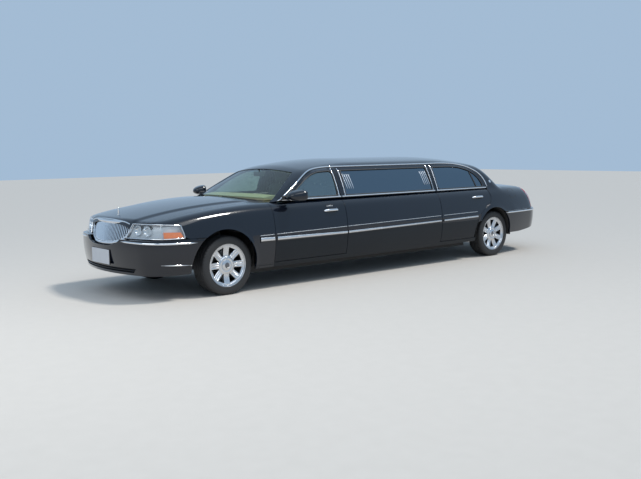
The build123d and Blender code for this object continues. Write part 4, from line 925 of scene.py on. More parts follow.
WS_FOOT = (front(0.735), 0.8)
WS_TOP = (front(1.2), 0.585)
PILLAR_Z = 0.95
ws_top = arc3(WS_TOP, (front(1.15), 0.0), (WS_TOP[0], -WS_TOP[1]))
ws_base = arc3((WS_FOOT[0], -WS_FOOT[1]), (front(0.522), 0.0), WS_FOOT)
roof_side = (
    from_front([(0.66, 1.012), (0.787, 1.03)]) + [(x + 0.002, z + 0.006) for x, z in FRONT_CURVE[1:]]
    + [(B_CUT, DOOR_TOP + 0.004), (C_CUT, DOOR_TOP + 0.004)]
    + [(x, z + 0.006) for x, z in REAR_CURVE[1:] if x > PILLAR_X] + [(HEADER_X, 1.286)]
)
left = on_side(upper, dense(roof_side, 0.02))
pillar = on_top(upper, dense([WS_TOP, WS_FOOT], 0.02), PILLAR_Z)
top_line = on_top(upper, ws_top[::-1], PILLAR_Z)[1:-1]
loop = np.vstack([left, crossing(upper, HEADER_X, left[-1][1]), mirror(left), mirror(pillar), top_line, pillar])
part = shell(upper, upper_way, [loop], 0.03, 0.03)
panel("roof_skin", part, [PAINT, DARK_TRIM, PAINT], "body", "roof", mirrored=False)
loop = on_top(glass_form, ring(ws_base + ws_top), PILLAR_Z)
emit(
    "windshield_pane", shell(glass_form, Top(PILLAR_Z), [loop], 0.04, 0.005), [CLEAR_GLASS], "body", "clear_glass",
    "windshield",
)

# Cowl below the windshield
cowl_form = sunk(lower, 0.004)
loop = on_top(cowl_form, ring(across(from_front([(0.484, 0.74), (0.78, 0.86), (0.6, 0.4), (0.56, 0.0)]))))
emit("cowl_cover", shell(cowl_form, Top(), [loop], 0.03, heading=(0, 0, -0.02)), [PLASTIC], "body", "black_plastic")

# Rear body: both quarters, rear pillars, deck strip and the header over the rear window
LID_START = 0.715
LID_HALF = 0.69
LID_FOOT = 0.69
LID_GAP = 0.006
LENS_EDGE = from_rear([
    (0.972, 0.6655), (0.955, 0.71), (0.921, 0.789), (0.888, 0.853), (0.862, 0.905), (0.856, 0.938)
])
LENS_TOP = rear(0.885)
TAIL_X = rear(0.9)
quarter_side = (
    [(HEADER_X - 0.0001, 1.286)] + [(x - 0.006, z + 0.003) for x, z in REAR_CURVE if x < PILLAR_X]
    + [(x - GAP, z) for x, z in REAR_ARCH_EDGE[:-3]] + [(rear(-0.46), 0.54)]
    + [p for p in arch_curve(REAR_ARCH, ARCH_R_REAR, 0.56, 0.6655) if p[0] < rear(-0.4)] + LENS_EDGE
)
left = on_side(whole, dense(quarter_side, 0.015), 0.4)
deck_x = rear(LID_START - LID_GAP)
lid_left = on_top(whole, dense([(LENS_TOP, LID_HALF + LID_GAP), (deck_x, LID_HALF + LID_GAP)]))
outer = np.vstack([
    left, lid_left, crossing(whole, deck_x, LID_HALF + LID_GAP), mirror(lid_left), mirror(left),
    crossing(whole, HEADER_X, -left[0][1]),
])
window_low = arc3((rear(0.235), 0.62), (rear(0.5), 0.0), (rear(0.235), -0.62))
window_high = arc3((rear(-0.119), -0.54), (rear(-0.144), 0.0), (rear(-0.119), 0.54))
rear_window = ring(window_low + window_high)
part = shell(whole, Roll(0.0, 0.6, 0.75), [outer, on_top(whole, rear_window, 0.9)], 0.026, 0.022)
panel("rear_skin", part, [PAINT, DARK_TRIM, PAINT], "body", "rear_body", mirrored=False)
pane_form = sunk(whole, 0.007)
part = shell(pane_form, Top(0.9), [on_top(pane_form, rear_window, 0.9)], 0.04, 0.005)
emit("rear_pane", part, [DARK_GLASS], "body", "dark_glass", "rear_window")

# Trunk lid
lid_way = Pitch(rear(0.95), 0.72, 0.5)


def pitch_line(form, y, start, end, n=40):
    """A line over the tail at a distance from the middle, between two points"""
    a = np.linspace(lid_way.flat(start[None])[0][0], lid_way.flat(end[None])[0][0], n)
    return hit(form, *lid_way.rays(np.column_stack([a, np.full(n, y)])))


lid_top = on_top(lower, [(rear(LID_START), LID_HALF)])[0]
lid_foot = on_end(lower, [(LID_HALF, LID_FOOT)], TAIL_X, -1)[0]
lid_side = pitch_line(lower, LID_HALF, lid_top, lid_foot)
lid_low = on_end(lower, dense([(LID_HALF, LID_FOOT), (-LID_HALF, LID_FOOT)]), TAIL_X, -1)[1:-1]
loop = np.vstack([crossing(lower, rear(LID_START), -LID_HALF, 0.02), lid_side, lid_low, mirror(lid_side)])
part = shell(lower, lid_way, [loop], 0.024, 0.02)
panel("lid_skin", part, [PAINT, UNDER, PAINT], "trunk_lid", "trunk_lid", mirrored=False)


# Bumpers: each wraps from arch to arch, with a ledge on top that runs back to the body's face
def bumper_end(centre, radius, z_from, z_to, top, facing):
    """The edge of a bumper at its wheel arch, from its foot up"""
    points = arch_curve(centre, radius, z_from, z_to, 120)
    edge = on_side(bumper, dense([p for p in points if (p[0] - centre[0]) * facing > 0 and p[1] < top], 0.015))
    return edge[np.argsort(edge[:, 2])]


LEDGE_WALL = (0, 0, 0.006)


def ledge(way, a_end, z, n, half_gap=0.0):
    """The top of a bumper, left out within half_gap of the middle"""
    rays = way.rays(np.column_stack([np.linspace(a_end, -a_end, n) * way.scale, np.full(n, z)]))
    edge, face = hit(bumper, *rays), hit(lower, *rays)
    out = (edge - face) / np.maximum(np.linalg.norm(edge - face, axis=1), 1e-6)[:, None]
    near, far = edge - out * 0.002, face - out * 0.03
    shut = np.abs(edge[:, 1]) < half_gap
    f = [
        (4 * i - 4 + j, 4 * i + j, 4 * i + (j + 1) % 4, 4 * i - 4 + (j + 1) % 4)
        for i in range(1, n) if not (shut[i] and shut[i - 1]) for j in range(4)
    ]
    return np.stack([near, far, far - LEDGE_WALL, near - LEDGE_WALL], 1).reshape(-1, 3), f, [0] * len(f)


BUMP_LOW = 0.288
BUMP_TOP = 0.6765
NOSE_X = 2.2
left_edge = bumper_end(FRONT_ARCH, ARCH_R_FRONT, 0.289, ARCH_TOP_F, 0.677, 1)
a_top, a_low = angle_of(front_way, left_edge[-1]), angle_of(front_way, left_edge[0])
NOTCH = [(0.392, BUMP_TOP), (0.322, 0.63), (0.19, 0.603), (0.09, 0.598), (0.0, 0.597)]
a_notch = angle_of(front_way, on_end(bumper, [NOTCH[0]], NOSE_X, 1)[0])
notch = on_end(bumper, dense(across(NOTCH, 0)), NOSE_X, 1)
top_left = plan_line(bumper, front_way, a_notch, a_top, BUMP_TOP, 26)[1:-1]
outline = np.vstack([
    left_edge[::-1], plan_line(bumper, front_way, a_low, -a_low, BUMP_LOW, 90)[1:-1], left_edge * (1, -1, 1),
    mirror(top_left), notch[::-1], top_left,
])
SLOTS = [(0.318, 0.338, 0.56), (0.344, 0.364, 0.585)]
slots = [
    on_end(bumper, ring(rounded([(-w, low), (w, low), (w + 0.02, high), (-w - 0.02, high)], 0.01)), NOSE_X, 1)
    for low, high, w in SLOTS
]
part = shell(bumper, front_way, [outline] + slots, 0.026, 0.03)
panel("front_bumper_skin", part, [PAINT, UNDER, PAINT], "body", "front_bumper", mirrored=False)
behind = sunk(bumper, 0.045)
strip_line = np.vstack([plan_line(behind, front_way, a, -a, z, 40) for a, z in ((0.42, 0.3), (-0.42, 0.38))])
emit("lower_grille", shell(behind, front_way, [strip_line], 0.04, 0.006), [PLASTIC], "body", "black_plastic")
emit("front_bumper_ledge", ledge(front_way, a_top, BUMP_TOP, 120, 0.39), [PAINT], "body", "black_paint")

# Chrome on the front bumper
a0, a1, a2 = (
    angle_of(front_way, on_side(bumper, [(front(d), z)])[0]) for d, z in ((-0.42, 0.64), (-0.49, 0.4), (-0.815, 0.4))
)
line = plan_line(bumper, front_way, a0, a_notch + 0.01, np.linspace(0.632, 0.655, 60), 60)
moulding("bumper_strip", line, bumper, "body", 0.02, 0.007, taper=0.08)
line = plan_line(bumper, front_way, a1, a2, np.linspace(0.391, 0.412, 40), 40)
moulding("low_strip", line, bumper, "body", 0.011, 0.005, taper=0.12)

# Rear bumper, whose lower edge sweeps up towards the middle
REAR_LOW = 0.327
REAR_TOP = 0.6625
LOW_N = 100
rear_edge = bumper_end(REAR_ARCH, ARCH_R_REAR, 0.6615, REAR_LOW, 0.661, -1)
b_top, b_low = angle_of(rear_way, rear_edge[-1]), angle_of(rear_way, rear_edge[0])
low_z = REAR_LOW + 0.075 * step((0.86 - np.abs(np.linspace(-1, 1, LOW_N))) / 0.5)
outline = np.vstack([
    rear_edge[::-1], plan_line(bumper, rear_way, b_low, -b_low, low_z, LOW_N)[1:-1], rear_edge * (1, -1, 1),
    plan_line(bumper, rear_way, -b_top, b_top, REAR_TOP, 110)[1:-1],
])
part = shell(bumper, rear_way, [outline], 0.026, 0.03)
panel("rear_bumper_skin", part, [PAINT, UNDER, PAINT], "body", "rear_bumper", mirrored=False)
emit("rear_bumper_ledge", ledge(rear_way, b_top, REAR_TOP, 110), [PAINT], "body", "black_paint")
line = plan_line(bumper, rear_way, b_top - 0.012, 0.0, 0.64, 70)
moulding("rear_bumper_strip", line, bumper, "body", 0.02, 0.007, taper=0.06)

# Blank number plates
for end, facing, z, plate, backing in (
    ("front", 1, 0.468, (0.42, 0.162), (0.43, 0.17)), ("rear", -1, 0.51, (0.305, 0.155), (0.32, 0.17)),
):
    rounded_box(end + "_plate", (facing * 3.625, 0, z), (0.006, *plate), 0.002, PLATE, "body", "steel")
    rounded_box(
        end + "_plate_backing", (facing * 3.618, 0, z), (0.012, *backing), 0.004, PLASTIC, "body", "black_plastic"
    )


# Headlights: a clear cover over a housing with two round lamps and an amber strip behind them
def lamp_form(x, y, z):
    return smax(smax(plan_dist(x, y) + side_inset(z), nose_form(x, y, z), 0.09), top_form(x, y, z), 0.04)


lamp_way = Yaw(2.3, 1, 1.4, 0.25)
LAMP_X = 2.6
LAMP_Y = 0.4


def lamp_loop(form, i=0.0):
    """Outline of the left lamp on a form, moved inwards by i"""
    inner = [(0.42 + i, 0.684 + i), (0.445 + i, 0.73), (0.462 + i, 0.79), (0.488 + i, 0.852 - i)]
    top_in = on_end(form, inner, LAMP_X, 1)
    side_line = on_side(form, dense(from_front([
        (-0.8, 0.852 - i), (-0.594, 0.838 - i), (-0.588 - i, 0.83 - i), (-0.553 - i, 0.7 + i), (-0.56 - i, 0.684 + i),
        (-0.8, 0.684 + i),
    ])), LAMP_Y)

    def between(p, q, n=22):
        heights = np.linspace(p[2], q[2], n)
        return plan_line(form, lamp_way, angle_of(lamp_way, p), angle_of(lamp_way, q), heights, n)[1:-1]

    return np.vstack([top_in, between(top_in[-1], side_line[0]), side_line, between(side_line[-1], top_in[0])])


lens_form = sunk(lamp_form, 0.001)
house_form = sunk(lamp_form, 0.045)
rim_form = sunk(lamp_form, 0.002)
part = shell(lens_form, lamp_way, [lamp_loop(lens_form)], 0.02, 0.003)
pair("headlight_cover", part, [LENS], "body", "clear_lens", "headlights")
part = shell(house_form, lamp_way, [lamp_loop(sunk(lamp_form, 0.02), 0.002)], 0.02, 0.006)
pair("headlight_housing", part, [LAMP_SHELL], "body", "chrome")
moulding("headlight_rim", lamp_loop(rim_form, 0.007), rim_form, "body", 0.009, 0.004, closed=True)
BOWL = [(0.0, -0.02), (0.02, -0.018), (0.035, -0.01), (0.046, 0.004), (0.052, 0.018), (0.056, 0.018), (0.056, -0.03)]
BULB = [(0.0, 0.012), (0.008, 0.01), (0.012, 0.0), (0.013, -0.012)]
for i, (y, z, heading) in enumerate(((0.565, 0.775, (1, 0.18, 0.08)), (0.69, 0.77, (1, 0.32, 0.06)))):
    spot = on_end(house_form, [(y, z)], LAMP_X, 1)[0] + (0.008, 0, 0)
    pair("lamp_bowl_%d" % i, lathe(BOWL, spot, heading, 40), [REFLECTOR], "body", "chrome")
    pair("lamp_bulb_%d" % i, lathe(BULB, spot, heading, 20), [LENS], "body", "clear_lens")
amber_form = sunk(lamp_form, 0.008)
amber_line = ring(from_front([(-0.785, 0.697), (-0.785, 0.764), (-0.6, 0.756), (-0.573, 0.7)]))
part = shell(amber_form, lamp_way, [on_side(amber_form, amber_line, LAMP_Y)], 0.02, 0.02)
pair("amber", part, [AMBER], "body", "red_lens")
divider_form = sunk(lamp_form, 0.012)
line = on_side(divider_form, dense(from_front([(-0.79, 0.69), (-0.79, 0.845)])), LAMP_Y)
moulding("lamp_divider", line, divider_form, "body", 0.008, 0.006, REFLECTOR)


# Grille: a chrome shield frame with upright bars
GRILLE_CROWN = 1.2
GRILLE_X = 2.4
BAR_PITCH = 0.0262
N_BARS = 33


def grille_form(x, y, z):
    return leaning_face(x, y, z, front(-1.072), 0.56, GRILLE_CROWN, NOSE_LEAN, 1)


def shield_line(form, i):
    """The shield's outline on a form, moved inwards by i"""
    flat = across([
        (0.472 - i, 0.866 - i), (0.448 - i, 0.76), (0.405 - i, 0.692 + i * 0.3), (0.32 - i * 0.6, 0.636 + i * 0.8),
        (0.19, 0.609 + i), (0.09, 0.604 + i), (0.0, 0.603 + i),
    ], 0)
    return on_end(form, ring(rounded(flat, 0.02)), GRILLE_X, 1)


moulding(
    "grille_frame", shield_line(grille_form, 0.013), grille_form, "body", 0.03, 0.016, closed=True, mirrored=False,
    node="grille",
)
inner_form = sunk(grille_form, 0.006)
moulding(
    "grille_inner_frame", shield_line(inner_form, 0.032), inner_form, "body", 0.008, 0.006, closed=True, mirrored=False
)
bar_form = sunk(grille_form, 0.012)
# Places across the grille, and how low a bar reaches there
BAR_Y = (0.0, 0.09, 0.19, 0.29, 0.345, 0.385, 0.41, 0.425)
BAR_FOOT = (0.629, 0.63, 0.638, 0.662, 0.69, 0.73, 0.77, 0.81)
bars = []
for i in range(N_BARS):
    y = (i - (N_BARS - 1) / 2) * BAR_PITCH
    line = on_end(bar_form, dense([(y, np.interp(abs(y), BAR_Y, BAR_FOOT)), (y, 0.845)], 0.03), GRILLE_X, 1)
    bars.append(strip(line, normals(grille_form, line), 0.0105, 0.01))
emit("grille_bars", join(bars), [CHROME], "body", "chrome", sharp=60)
back_form = sunk(grille_form, 0.03)
part = shell(back_form, Yaw(1.9, 1, 1.7), [shield_line(back_form, 0.02)], 0.04, 0.004)
emit("grille_backing", part, [PLASTIC], "body", "black_plastic")

# Hood ornament: a bare upright blade on a small foot
FOOT = [(0.0, -0.004), (0.016, -0.004), (0.016, 0.004), (0.008, 0.009), (0.0, 0.009)]
foot = on_top(lower, [(front(-0.855), 0.0)])[0]
emit("ornament_foot", lathe(FOOT, foot, (0, 0, 1), 24), [CHROME], "hood", "chrome")
rounded_box("ornament_blade", (foot[0], 0, foot[2] + 0.046), (0.012, 0.026, 0.076), 0.004, CHROME, "hood", "chrome")
line = on_top(lower, dense(across([(x - 0.012, y) for x, y in hood_front[1:]])))
moulding("hood_front_trim", line, lower, "hood", 0.012, 0.004, mirrored=False)


# Tail lights: a corner lens that wraps from the side over the shoulder to the lid
tail_way = Ball((rear(0.76), 0.5, 0.76))


def tail_loop(form, i=0.0):
    """Outline of the left lens on a form, moved inwards by i"""
    low = 0.672 + i
    inner = LID_HALF + 0.009 + i
    edge = on_side(form, dense([(x - 0.006 - i, max(z, low)) for x, z in LENS_EDGE[:-1]]), 0.4)
    top = on_top(form, [(LENS_TOP - 0.006 - i, inner)])[0]
    foot = on_end(form, [(inner, low)], TAIL_X, -1)[0]
    back = pitch_line(form, inner, top, foot, 26)
    under = plan_line(form, rear_way, angle_of(rear_way, back[-1]), angle_of(rear_way, edge[0]), low, 24)[1:-1]
    return np.vstack([edge, back, under])


tail_lens = sunk(lower, -0.002)
part = shell(tail_lens, tail_way, [tail_loop(tail_lens)], 0.02, 0.026)
pair("tail_light", part, [RED], "body", "red_lens", "tail_lights", edge=0.003)
moulding("tail_light_rim", tail_loop(tail_lens, 0.006), tail_lens, "body", 0.008, 0.004, closed=True)

# Bright strip across the lid between the lenses
lid_face = sunk(lower, -0.001)
loop = on_end(lid_face, ring([(0.6, 0.742), (-0.6, 0.742), (-0.6, 0.8), (0.6, 0.8)]), TAIL_X, -1)
part = shell(lid_face, Yaw(rear(0.3), -1, 1.0), [loop], 0.03, 0.004)
emit("lid_garnish", part, [CHROME], "trunk_lid", "chrome", edge=0.002)

# Mouldings along the side: each run rides on its own panel. Columns: name, body, rear end, front end
HINGE_ROOM = 0.014
DOOR_ROOM = 0.008
SPANS = (
    ("fender", "body", FENDER_CUT + HINGE_ROOM, 9.0),
    ("front_door", "front_door_", B_CUT + GAP, FENDER_CUT - DOOR_ROOM),
    ("side_panel", "body", C_CUT + HINGE_ROOM, B_CUT - GAP),
    ("rear_door", "rear_door_", QUARTER_CUT, C_CUT - DOOR_ROOM),
    ("quarter", "body", -9.0, rear(-0.135)),
)


def runs(points):
    """Cuts a line of places into the runs that lie on the fender, doors and side panel"""
    for name, body, low, high in SPANS:
        piece = np.array([p for p in points if low + 0.001 < p[0] < high - 0.001])
        if len(piece) > 3:
            yield name, body, piece


def band(x, mid, half, out, depth):
    """A band round a line at a height, raised by out over the body and set in by a depth"""
    a, b = on_side(lower, np.column_stack([x, mid - half])), on_side(lower, np.column_stack([x, mid + half]))
    na, nb = normals(lower, a), normals(lower, b)
    m = (a + b) / 2
    nm = normals(lower, on_side(lower, m[:, [0, 2]]))
    rows = [
        b - nb * depth, b + nb * out * 0.55, a * 0.12 + b * 0.88 + nm * out, m + nm * (out + 0.0015),
        a * 0.88 + b * 0.12 + nm * out, a + na * out * 0.55, a - na * depth,
    ]
    return tube(np.stack(rows, 1), len(rows))


# Body-side strip: centre and half height along the car. Above it runs a thin bright alloy line, a painted highlight
# that stands for the light caught along the body's crease
STRIP_D = (0.385, 0.7, 1.706, 3.483, 4.3)
STRIP_MID = (0.602, 0.598, 0.590, 0.615, 0.628)
STRIP_HALF = (0.030, 0.026, 0.018, 0.015, 0.016)
HIGHLIGHT_LINE_D = (0.37, 1.463, 3.914, 4.3)
HIGHLIGHT_LINE_Z = (0.645, 0.659, 0.691, 0.695)
strip_x = np.arange(rear(-0.469), front(0.385), 0.02)
strip_d = front(0) - strip_x
table = np.column_stack([
    strip_x, np.interp(strip_d, STRIP_D, STRIP_MID), np.interp(strip_d, STRIP_D, STRIP_HALF),
    np.interp(strip_d, HIGHLIGHT_LINE_D, HIGHLIGHT_LINE_Z),
])
for name, body, piece in runs(table):
    x, mid, half, highlight_z = piece.T
    part = band(x, mid, half * 1.25, 0.008, 0.012)
    pair("side_strip_" + name, part, [PAINT], body, "black_paint", sharp=50)
    part = band(x, mid, half * 0.75, 0.0115, 0.002)
    pair("side_bright_" + name, part, [ALLOY], body, "chrome", sharp=50)
    # Painted highlight: a thin bright alloy moulding where the body has only a crease that catches the light
    line = on_side(lower, np.column_stack([x, highlight_z]))
    moulding("side_line_" + name, line, lower, body, 0.007, 0.003, ALLOY)

# Chrome over the windows, from the foot of the front pillar over the doors to the foot of the rear pillar
drip_side = (
    from_front([(0.735, 1.02), (0.787, 1.036)]) + [(x + 0.004, z + 0.014) for x, z in FRONT_CURVE[1:]]
    + [(B_CUT, DOOR_TOP + 0.013), (C_CUT, DOOR_TOP + 0.013)]
    + [(x - 0.002, z + 0.014) for x, z in REAR_CURVE[1:] if x > PILLAR_X]
    + [(x - 0.016, z + 0.008) for x, z in REAR_CURVE if x < PILLAR_X]
)
moulding("drip_rail", on_side(upper, dense(drip_side)), upper, "body", 0.017, 0.009, taper=0.05)

# Belt chrome under the windows
for name, body, piece in runs([(x, 1.031) for x in np.arange(rear(-0.142), front(0.80), 0.02)]):
    moulding("belt_chrome_" + name, on_side(upper, piece), upper, body, 0.016, 0.008)

# Window seals, and bright uprights at the cuts
for name, window, body in (
    ("front", FRONT_WINDOW, "front_door_"), ("rear", REAR_WINDOW, "rear_door_"), ("middle", MIDDLE_WINDOW, "body"),
):
    line = on_side(upper, ring(window))
    moulding("window_seal_" + name, line, sunk(upper, 0.003), body, 0.014, 0.004, PLASTIC, closed=True)
for name, body, x, width in (
    ("front_door_back", "front_door_", front(1.724), 0.01), ("middle_front", "body", front(1.83), 0.009),
    ("middle_back", "body", rear(-1.286), 0.009), ("rear_door_front", "rear_door_", rear(-1.198), 0.01),
):
    moulding("upright_" + name, on_side(upper, dense([(x, 1.04), (x, 1.378)])), upper, body, width, 0.003)
divider_form = sunk(upper, 0.004)
line = on_side(divider_form, dense(from_rear([(-0.35, 1.05), (-0.405, 1.262)])))
moulding("window_divider", line, divider_form, "rear_door_", 0.022, 0.006, PLASTIC)
# Leaning bright bars at the ends of the middle windows
BAR_STEP = 0.035
BAR_LEAN = 0.012
bar_x = [front(1.885 + BAR_STEP * j) for j in range(4)] + [rear(-1.34 - BAR_STEP * j) for j in range(4)]
for i, x in enumerate(bar_x):
    line = on_side(divider_form, dense([(x - BAR_LEAN, 1.115), (x + BAR_LEAN, 1.305)]))
    moulding("window_bar_%d" % i, line, sunk(upper, 0.002), "body", 0.011, 0.005, ALLOY, taper=0.01)

# Door handles: a bright bow over a dark cup
HANDLE_LIFT = 0.032
CUP_HALF = 0.026
for name, d_from, d_to, z, body in (
    ("front_handle", 1.393, 1.622, 0.872, "front_door_"), ("rear_handle", 4.224, 4.463, 0.9, "rear_door_"),
):
    mid, half = (d_from + d_to) / 2, (d_to - d_from) / 2
    t = np.linspace(-1, 1, 26)
    base = on_side(lower, np.column_stack([front(mid + half * t), np.full(len(t), z)]))
    out = normals(lower, base)
    lift = HANDLE_LIFT * (1 - np.abs(t) ** 5)
    pair(name + "_bow", strip(base + out * lift[:, None], out, 0.026, 0.009, 0.012), [CHROME], body, "chrome", sharp=60)
    cup = half * 0.62
    loop = on_side(lower, rounded(from_front([
        (mid - cup, z - CUP_HALF), (mid + cup, z - CUP_HALF), (mid + cup, z + CUP_HALF), (mid - cup, z + CUP_HALF)
    ]), 0.024))
    pair(name + "_cup", shell(sunk(lower, -0.0012), side_way, [loop], 0.02, 0.003), [PLASTIC], body, "black_plastic")

# Keypad on the front door
x, y, z = on_side(lower, [(front(1.5), 0.927)])[0]
rounded_box(
    "keypad", (x, y - 0.003, z), (0.12, 0.014, 0.026), 0.006, PLASTIC, "front_door_", "black_plastic", mirrored=True
)
for j in range(5):
    rounded_box(
        "key_%d" % j, (x + 0.042 - 0.021 * j, y + 0.0035, z), (0.014, 0.004, 0.012), 0.002, ALLOY, "front_door_",
        "black_plastic", mirrored=True,
    )

# Fuel door on the left quarter, and a bare round badge on each rear pillar
line = on_side(lower, rounded(from_rear([(0.36, 0.86), (0.52, 0.86), (0.52, 0.985), (0.36, 0.985)]), 0.03), 0.4)
moulding(
    "fuel_door_seam", line, sunk(lower, 0.0012), "body", 0.004, 0.0015, PLASTIC, closed=True, mirrored=False
)
badge_at = on_side(upper, [(rear(-0.01), 1.115)])[0]
BADGE = [(0.0, -0.004), (0.022, -0.004), (0.022, 0.002), (0.017, 0.004), (0.0, 0.005)]
part = lathe(BADGE, badge_at, normals(upper, badge_at[None])[0], 28)
pair("pillar_badge", part, [CHROME], "body", "chrome")

# Wheels: eight wide spokes with ridges, a round cap, a stepped lip and a tyre with cut tread
SPOKES = 8
SPOKE_PITCH = 2 * math.pi / SPOKES
FACE_R = 0.221
HUB_EDGE = 0.05
WINDOW_IN = 0.106
WINDOW_OUT = 0.207
FACE_WALL = 0.03


def spoke_half(r):
    """Half the width of a spoke at a radius"""
    return 0.0345 + 0.0035 * (r - HUB_EDGE) / (FACE_R - HUB_EDGE)


def rim_face(x, z):
    """How far the wheel's face stands out from its middle"""
    r = np.hypot(x, z)
    a = np.arctan2(x, z)
    off = a - np.round(a / SPOKE_PITCH) * SPOKE_PITCH
    side = np.abs(r * np.sin(off)) / spoke_half(r)
    dish = 0.074 + 0.016 * np.clip((r - 0.11) / 0.1, -0.5, 1) ** 2
    along = step((r - 0.1) / 0.012) * step((FACE_R - 0.006 - r) / 0.012)
    groove = -0.006 * (1 - step(np.abs(side - 0.4) / 0.17)) * along
    bevel = -0.007 * step((side - 0.82) / 0.18) * step((r - 0.1) / 0.02) * step((FACE_R - r) / 0.012)
    hub_plate = 0.006 * (1 - step((r - 0.09) / 0.008)) - 0.004 * (1 - step((r - 0.066) / 0.006))
    return dish + groove + bevel + hub_plate


def wheel_window(i):
    """One opening between two spokes"""
    out = np.linspace(WINDOW_IN, WINDOW_OUT, 9)
    points = []
    for sign, radii in ((-1, out), (1, out[::-1])):
        for r in radii:
            a = (i + 0.5) * SPOKE_PITCH + sign * (SPOKE_PITCH / 2 - math.asin(spoke_half(r) / r))
            points.append((r * math.sin(a), r * math.cos(a)))
    return rounded(points, 0.012, 4)


def circle(radius, n):
    t = np.linspace(0, 2 * math.pi, n, endpoint=False)
    return radius * np.column_stack([np.cos(t), np.sin(t)])


flat, tri = fill([circle(FACE_R, 160)] + [wheel_window(i) for i in range(SPOKES)] + [circle(0.03, 40)], 0.0065)
sheet = np.column_stack([flat[:, 0], rim_face(flat[:, 0], flat[:, 1]), flat[:, 1]])
t = sheet[tri]
turned_in = np.cross(t[:, 1] - t[:, 0], t[:, 2] - t[:, 0])[:, 1] < 0
tri[turned_in] = tri[turned_in][:, ::-1]
FACE = solid(sheet, sheet - (0, FACE_WALL, 0), tri)
# Turned sections: radius, and distance outwards from the wheel's middle
LIP = [
    (0.214, 0.072), (0.219, 0.087), (0.224, 0.0935), (0.234, 0.0965), (0.238, 0.1035), (0.2445, 0.105), (0.2465, 0.1),
    (0.2405, 0.094), (0.2325, 0.09), (0.2295, 0.07), (0.2295, -0.085), (0.243, -0.095), (0.246, -0.104),
    (0.236, -0.103), (0.219, -0.088), (0.214, -0.05),
]
LIP_KINDS = [0] * 9 + [1] * 7
CAP = [
    (0.0, 0.094), (0.02, 0.0935), (0.027, 0.092), (0.029, 0.0895), (0.032, 0.0925), (0.052, 0.0895), (0.0595, 0.086),
    (0.062, 0.079), (0.062, 0.055), (0.0, 0.055),
]
CAP_KINDS = [1] * 3 + [0] * 6
DISC = [(0.05, -0.012), (0.158, -0.012), (0.158, 0.012), (0.05, 0.012)]
# Half of the tyre's section: distance from its middle, and radius
TYRE_SIDE = [
    (0.098, 0.2335), (0.1035, 0.2405), (0.107, 0.2475), (0.1125, 0.2505), (0.1115, 0.255), (0.1135, 0.268),
    (0.1148, 0.284), (0.1138, 0.3), (0.1105, 0.313), (0.108, 0.3185),
]
SHOULDER = [(0.1055, 0.3235), (0.1005, 0.3295), (0.0935, 0.3335), (0.086, 0.335)]
GROOVES = (0.052, 0.018, -0.018, -0.052)
GROOVE_DEPTH = 0.0075
CUT_DEPTH = 0.0045
TYRE_N = 216


def tyre_mesh():
    """The tyre's skin, with grooves round it and a cut across every fourth place of the shoulders"""
    half = [(w, r, 0.0) for w, r in TYRE_SIDE] + [(w, r, CUT_DEPTH) for w, r in SHOULDER]
    rows = list(half)
    for g in GROOVES:
        for off, low in ((0.0055, 0), (0.0035, 1), (-0.0035, 1), (-0.0055, 0)):
            rows.append((g + off, WHEEL_Z - 0.28 * (g + off) ** 2 - GROOVE_DEPTH * low, 0.0))
    rows += [(-w, r, cut) for w, r, cut in half[::-1]]
    m = len(rows)
    v, f = [], []
    for i in range(TYRE_N):
        a = 2 * math.pi * i / TYRE_N
        for w, r, cut in rows:
            r -= cut * (i % 4 == 0)
            v.append((r * math.cos(a), w, r * math.sin(a)))
        here, after = i * m, (i + 1) % TYRE_N * m
        f += [(after + j, after + j + 1, here + j + 1, here + j) for j in range(m - 1)]
    return np.array(v), f, [0] * len(f)


def spun(v, angle):
    c, s = math.cos(angle), math.sin(angle)
    return np.column_stack([v[:, 0] * c + v[:, 2] * s, v[:, 1], v[:, 2] * c - v[:, 0] * s])


TYRE_SKIN = tyre_mesh()
TWIST = {"front_left": 0.0, "front_right": 0.3, "rear_left": 0.39, "rear_right": 0.2}
AXIS = (0, 1, 0)
RIM_MATS = [ALLOY, DARK_ALLOY]
for end, x in (("front", AXLE_F), ("rear", AXLE_R)):
    centre = np.array((x, TRACK, WHEEL_Z))
    lip = lathe(LIP, centre, AXIS, 120, True, LIP_KINDS)
    cap = lathe(CAP, centre, AXIS, 64, kinds=CAP_KINDS)
    disc = lathe(DISC, centre - (0, 0.03, 0), AXIS, 64, True)
    for side in SIDES:
        where = end + "_" + side
        on = "wheel_" + where
        face = (spun(FACE[0], TWIST[where]) + centre, FACE[1], FACE[2])
        emit(
            "wheel_face_" + where, face, [ALLOY, DARK_ALLOY, DARK_ALLOY], on, "alloy", "rim_" + where, side, sharp=28,
            edge=0.0012,
        )
        emit("wheel_lip_" + where, lip, RIM_MATS, on, "alloy", side=side, sharp=30)
        emit("wheel_cap_" + where, cap, RIM_MATS, on, "alloy", side=side, sharp=30)
        emit("brake_disc_" + where, disc, [STEEL], on, "steel", side=side, sharp=30)
        tyre = (TYRE_SKIN[0] + centre, TYRE_SKIN[1], TYRE_SKIN[2])
        emit("tyre_tread_" + where, tyre, [TYRE], on, "tyre_rubber", "tyre_" + where, side, sharp=32)

# Liners round the wheels: the front ones end behind the wheel, where the steered tyre swings
# Columns: name, centre, radius, height of the back end, inner and outer side
LINER_WALL = 0.004
for end, centre, radius, back_z, y_in, y_out in (
    ("front", FRONT_ARCH, 0.44, 0.69, 0.66, 0.87), ("rear", REAR_ARCH, 0.405, 0.3, 0.66, 0.95),
):
    near, far = (arch_curve(centre, r, 0.3, back_z, 60) for r in (radius, radius + LINER_WALL))
    rows = [
        [(a[0], y_out, a[1]), (a[0], y_in, a[1]), (b[0], y_in, b[1]), (b[0], y_out, b[1])] for a, b in zip(near, far)
    ]
    pair(end + "_arch_liner", tube(rows, 4), [UNDER], "body", "black_plastic")

